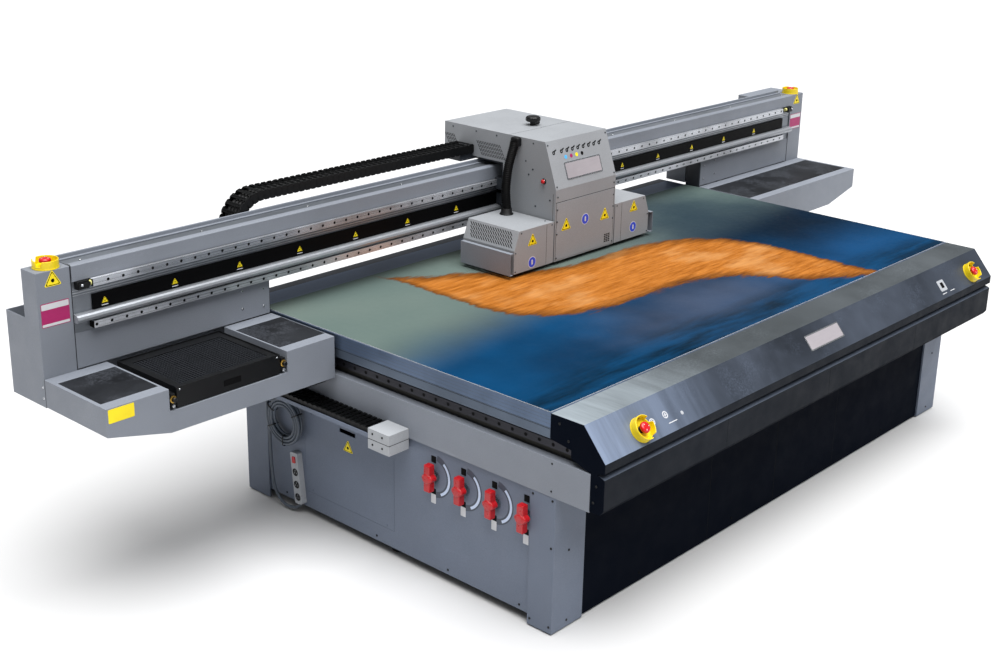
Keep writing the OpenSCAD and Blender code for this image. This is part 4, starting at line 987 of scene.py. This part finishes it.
def head_details():
    k = Kit()
    for s in (-1, 1):
        x = HEAD_L if s < 0 else HEAD_R

        def wall(y, z):
            return facing_side(s, x, y, z)

        slots(k, wall(673, 1258), 14, 4, 10.2, 16, 4.2, 13, s * 4.5, 0, s * 0.55)
        slots(k, wall(905, 1264), 6, 4, 10.2, 16, 4.2, 13, s * 4.5, 0, s * 0.55)
        for y, z in ((330, 1100), (330, 1010), (330, 900), (470, 1246), (430, 1216), (452, 1190), (410, 1060),
                     (575, 1100), (560, 900), (640, 1328), (760, 1328), (900, 1328), (430, 1328)):
            k.screw(wall(y, z), 4, 1, 0)
        k.box(-0.8, 0.8, 0, 284, -0.2, 0.22, 0, wall(312, 846))
    # seams of the front and the lid
    k.box(HEAD_L + 1, HEAD_R - 1, DOOR_Y - 0.25, DOOR_Y + 0.3, 1092.2, 1094.2, 0)
    k.box(HEAD_L + 6, HEAD_L + 7.4, DOOR_Y - 0.25, DOOR_Y + 0.3, 838, 1092, 0)
    k.box(HEAD_R - 7.4, HEAD_R - 6, DOOR_Y - 0.25, DOOR_Y + 0.3, 838, 1092, 0)
    k.box(20, HEAD_R, 570, 571.6, HEAD_TOP - 0.3, HEAD_TOP + 0.25, 0)
    k.box(HEAD_L, 20, 566, 567.4, HEAD_TOP - 0.3, HEAD_TOP + 0.25, 0)
    for x in (HEAD_L + 12, HEAD_R - 12):
        for z in (1117, 1062, 1010, 955, 850):
            k.screw(facing_front(x, DOOR_Y - DOOR_SKIN, z), 4, 1, 0)
    for x in (HEAD_L + 10, HEAD_R - 10):
        k.screw(on_visor(x, 12), 4, 1, 0)
        k.screw(on_visor(x, 190), 4, 1, 0)
    for i in range(3):
        for j in range(5):
            k.box(147 + i * 14, 158 + i * 14, DOOR_Y - 1.5, DOOR_Y - 1, 854 + j * 8, 859 + j * 8, 0)
    k.make("head_seams_and_vents", "head", ["dark", "frame"], slot="cover_grey")

    # the door stands a little proud of the cover
    k = Kit()
    k.prism(rounded(387, 250, 3), 0, DOOR_SKIN, 0, facing_front(HEAD_X, DOOR_Y, 966))
    k.make("head_door_skin", "head", ["shell"], 0.5, slot="cover_grey")

    k = Kit()
    k.prism(rounded(240, 76, 6), 0, 1.6, 0, on_visor(14, 68))
    k.prism(rounded(228, 64, 4), 1.6, 2.0, 1, on_visor(14, 68))
    k.make("blank_plate", "head", ["steel", "plate"], 0.4, slot="cover_grey")

    k = Kit()
    for i in range(4):
        disc(k, on_visor(-84 + 36 * i, 127), 8.5, i)
    # a row of plain marks above the four dots
    for i in range(9):
        at = on_visor(-140 + 36 * i + (0 if i else -14), 154)
        k.lathe([(8.5, 0), (8.5, 0.4), (3, 0.4), (3, 0)], 3, at, 20, False, True)
        k.prism([(5, 2), (19, 8), (19, 14), (5, 9)], 0, 0.4, 3, at)
    triangle(k, facing_front(-118, DOOR_Y - DOOR_SKIN, 983), 64, 2, 3)
    triangle(k, facing_front(145, DOOR_Y - DOOR_SKIN, 979), 64, 2, 3)
    for x, y, z in ((10, DOOR_Y - DOOR_SKIN, 988), (HEAD_L - 142, DOOR_Y, 866), (HEAD_R + 142, DOOR_Y, 884)):
        disc(k, facing_front(x, y, z), 25, 5, 0.4)
        disc(k, facing_front(x, y, z), 22, 4, 0.7)
        k.prism(rounded(9, 22, 4), 0.7, 1.0, 5, facing_front(x, y, z))
    triangle(k, facing_front(HEAD_L - 142, DOOR_Y, 958), 60, 2, 3)
    triangle(k, facing_front(HEAD_R + 142, DOOR_Y, 975), 60, 2, 3)
    k.make("blank_patches", "head", ["cyan", "magenta", "sign", "dark", "blue", "label"], slot="cover_grey")


def lamp_details():
    k = Kit()
    for s in (-1, 1):
        edge = HEAD_L - 7 if s < 0 else HEAD_R + 7
        foot, top = edge + s * 248, edge + s * 218
        up = Vector((top - foot, 0, 79)).normalized()
        right = Vector((0, s, 0))
        at = plane(((foot + top) / 2, 443, 975.5), right, up)
        slots(k, at, 17, 4, 14.0, 16.5, 5.6, 15.0, s * 7.5, 0, s * 0.32)
        seam = edge + s * 46
        k.box(seam, seam + 1.4, DOOR_Y - 0.25, DOOR_Y + 0.3, 838, 1012, 0)
        for out, z in ((12, 1004), (206, 1004), (240, 925), (240, 845)):
            k.screw(facing_front(edge + s * out, DOOR_Y, z), 3.5, 1, 0)
        for y in (330, 560):
            k.screw(facing_up(edge + s * 20, y, 1015), 4, 1, 0)
        # bumper guide pins
        for y in (330, 530):
            lo, hi = sorted((foot + s * 0.2, foot + s * 17))
            k.box(lo, hi, y - 7, y + 7, 873, 887, 1)
    k.make("lamp_vents_and_screws", "head", ["dark", "frame"], slot="lamp_grey")


head_details()
lamp_details()


# ---------------------------------------------------------------- base details
def base_screws():
    k = Kit()
    for y, z in ((118, 58), (-256, 58), (640, 58), (-600, 58),
                 (-630, 560), (-100, 560), (300, 560), (700, 560)):
        k.screw(facing_left(SIDE_X, y, z), 4.5, 0, 1)
    for y, z in ((-741, 505), (-741, 330), (-741, 30), (-655, 505), (-655, 30)):
        k.screw(facing_left(-HALF_W, y, z), 4.5, 0, 1)
    for y in (-735, 862):
        for z in (540, 640):
            k.screw(facing_left(-HALF_W - 2, y, z), 3.6, 0, 1)
            k.screw(facing_side(1, HALF_W + 2, y, z), 3.6, 0, 1)
    for x in (-900, -300, 300, 900):
        for z in (40, 480):
            k.screw(facing_front(x, FRONT + 8, z), 4.5, 1, 1)
    for z in (30, 300, 505):
        for x in (-1320, 1320):
            k.screw(facing_front(x, FRONT, z), 4.5, 0, 1)
    for z in (498, 540):
        k.screw(facing_left(-1500, -30, z), 4, 0, 1)
        k.screw(facing_left(-1500, 20, z), 4, 0, 1)
    k.box(-1500.2, -1402, -65.3, -64.9, 516, 518, 1)
    k.box(-1500.3, -1499.8, -65, 44, 516, 518, 1)
    k.make("base_screws", "base", ["black_paint", "dark"], slot="panel_grey")

    k = Kit()
    triangle(k, facing_left(SIDE_X, 273, 368), 56, 0, 1)
    k.make("side_patch", "base", ["sign", "dark"], slot="panel_grey")


def valve_dials():
    """The valves' dial arcs, blank number tabs and end stops."""
    k = Kit()
    for i, y in enumerate(VALVE_YS):
        at = facing_left(SIDE_X, y, VALVE_Z)
        if i > 0:
            n = 28
            for lo, hi, r0, r1, mat in ((-88, 80, 61, 84, 2), (-64, 52, 68, 78, 0)):
                turn = [math.radians(lo + (hi - lo) * j / n) for j in range(n + 1)]
                outer = [(r1 * math.cos(a), r1 * math.sin(a)) for a in turn]
                inner = [(r0 * math.cos(a), r0 * math.sin(a)) for a in turn]
                for j in range(n):
                    k.prism([inner[j], outer[j], outer[j + 1], inner[j + 1]],
                            0, 0.3 if mat == 2 else 0.5, mat, at)
        k.prism(rounded(24, 26, 2), 0, 0.4, 1, at @ Matrix.Translation((-4, 62, 0)))
        k.prism(rounded(24, 22, 2), 0, 0.4, 1, at @ Matrix.Translation((-4, -62, 0)))
        k.prism(rounded(24, 36, 2), 0, 0.4, 3, at @ Matrix.Translation((-4, -92, 0)))
        k.lathe([(26, 0), (26, 2), (20, 3.2), (20, 0)], 2, at, 36, True, True)
    k.make("valve_dials", "base", ["arc_blue", "dark", "slate_edge", "label"], slot="panel_grey")


def bed_grooves():
    """Grooves along the bed's side extrusions."""
    k = Kit()
    for s in (-1, 1):
        at = facing_side(s, s * HALF_W, 0, 0)
        y0, y1 = sorted((s * (FRONT + 34), s * (BACK - 8)))
        for z in (801, 789, 776):
            k.box(y0, y1, z - 0.8, z + 0.8, -0.2, 0.25, 0, at)
        k.box(y0, y1, 757.8, 759.2, -0.2, 0.25, 1, at)
    k.make("bed_side_grooves", "base", ["edge", "dark"], slot="edge_aluminium")


def power_strip():
    """A switch and three sockets on the leaning power strip."""
    w, h, d, lean = 42, 215, 26, math.radians(6.5)
    up = (0, math.sin(lean), math.cos(lean))
    back = plane((SIDE_X, 553, 156), (0, -math.cos(lean), math.sin(lean)), up)
    front = back @ Matrix.Translation((0, 0, d))
    k = Kit()
    k.prism(rounded(w, h, 7), 0, d - 0.8, 0, back)
    for z in (-78, -26, 26):
        at = front @ Matrix.Translation((0, z, -0.8))
        k.lathe([(18, -0.4), (18, 0.8), (16.4, 0.8), (15.6, -0.6)], 0, at, 32, True, True)
        disc(k, at, 16, 1, 0.1)
        for a in (0, 120, 240):
            pin = Matrix.Translation((7 * math.sin(math.radians(a)), 7 * math.cos(math.radians(a)), 0))
            k.box(-1.4, 1.4, -3, 3, 0.1, 0.3, 3, at @ pin)
    k.prism(rounded(16, 26, 2), -1, 3, 2, front @ Matrix.Translation((0, 78, 0)))
    strip = k.make("power_strip_moulded", "base", ["white", "rubber", "red", "steel"], 1.0,
                   slot="strip_white")
    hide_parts("power_strip")


def console_details():
    k = Kit()
    k.prism(rounded(245, 64, 5), 0, 1.6, 0, on_console(13, 74))
    k.prism(rounded(234, 54, 3), 1.6, 2.0, 1, on_console(13, 74))
    k.make("console_blank_plate", "base", ["steel", "plate"], 0.4, slot="console_steel")
    k = Kit()
    # plain pictorial marks beside the buttons
    for x, along in ((-1104, 60), (-1030, 64)):
        at = on_console(x, along)
        k.lathe([(13, 0), (13, 0.4), (9.5, 0.4), (9.5, 0)], 0, at, 28, False, True)
        k.prism(rounded(4, 15, 1.5), 0, 0.4, 0, at)
        k.prism(rounded(4, 15, 1.5), 0, 0.4, 0, at @ Matrix.Rotation(math.pi / 2, 4, "Z"))
    k.prism(rounded(46, 3, 1), 0, 0.4, 0, on_console(-1010, 32))
    disc(k, on_console(-948, 46), 7, 1, 1.0)
    k.prism(rounded(56, 50, 6), 0, 0.8, 1, on_console(980, 56))
    k.prism(rounded(24, 26, 4), 0.8, 1.1, 2, on_console(982, 57))
    for x in (968, 1040):
        k.prism(rounded(38, 3, 1), 0, 0.4, 0, on_console(x, 20))
    k.make("console_marks", "base", ["label", "white", "dark"], slot="console_steel")
    k = Kit()
    for x in (-700, 0, 700):
        k.box(x - 0.7, x + 0.7, CONSOLE_Y - 0.2, CONSOLE_Y + 0.2, 541, 649, 0)
    k.box(-0.9, 0.9, FRONT + 7.8, FRONT + 8.3, 10, 519, 0)
    for x in (-467, 467):
        k.box(x - 0.9, x + 0.9, FRONT + 7.8, FRONT + 8.3, 10, 519, 0)
    for s in (-1, 1):
        for y, z in ((-760, 790), (-920, 620), (-910, 560), (-800, 740)):
            k.screw(facing_side(s, s * (HALF_W + 1), y, z), 4.5, 1, 0)
    k.make("console_seams", "base", ["dark", "black_paint"], slot="console_dark")


base_screws()
valve_dials()
bed_grooves()
power_strip()
console_details()


# ---------------------------------------------------------------- light and floor
def make_stage():
    floor = Kit()
    floor.add([(-45000, -45000, -0.5), (45000, -45000, -0.5), (45000, 45000, -0.5), (-45000, 45000, -0.5)],
              [(0, 1, 2, 3)])
    m = Nodes("pale_floor", rough=0.7)
    m.colour(m.mix(m.span(m.noise(0.4, 3), 0.3, 0.7), lin("#c0c0c1"), lin("#c4c4c4")))
    MAT["floor"] = m.mat
    floor.make("floor", None, ["floor"])

    world = bpy.data.worlds.new("studio")
    bpy.context.scene.world = world
    world.use_nodes = True
    tree = world.node_tree
    coord = tree.nodes.new("ShaderNodeTexCoord")
    axes = tree.nodes.new("ShaderNodeSeparateXYZ")
    ramp = tree.nodes.new("ShaderNodeValToRGB")
    # a pale line at the horizon, dim walls, and a bright ceiling
    shades = ((0.0, (0.86, 0.86, 0.86, 1)), (0.05, (0.8, 0.8, 0.8, 1)), (0.1, (0.05, 0.055, 0.065, 1)),
              (0.9, (0.6, 0.6, 0.6, 1)))
    for place, colour in shades:
        stop = ramp.color_ramp.elements.new(place)
        stop.color = colour
    ramp.color_ramp.elements.remove(ramp.color_ramp.elements[0])
    ramp.color_ramp.elements.remove(ramp.color_ramp.elements[-1])
    tree.links.new(coord.outputs["Generated"], axes.inputs[0])
    tree.links.new(axes.outputs["Z"], ramp.inputs[0])
    tree.links.new(ramp.outputs[0], tree.nodes["Background"].inputs[0])
    tree.nodes["Background"].inputs[1].default_value = 1.0

    def sun(name, direction, strength, angle):
        data = bpy.data.lights.new(name, "SUN")
        data.energy, data.angle = strength, math.radians(angle)
        obj = bpy.data.objects.new(name, data)
        bpy.context.scene.collection.objects.link(obj)
        obj.rotation_mode = "QUATERNION"
        obj.rotation_quaternion = Vector(direction).to_track_quat("-Z", "Y")

    sun("top_light", (0.07, 0.26, -1), 6.0, 60)


make_stage()
bpy.context.scene.view_settings.view_transform = "Standard"
bpy.context.scene.view_settings.look = "None"
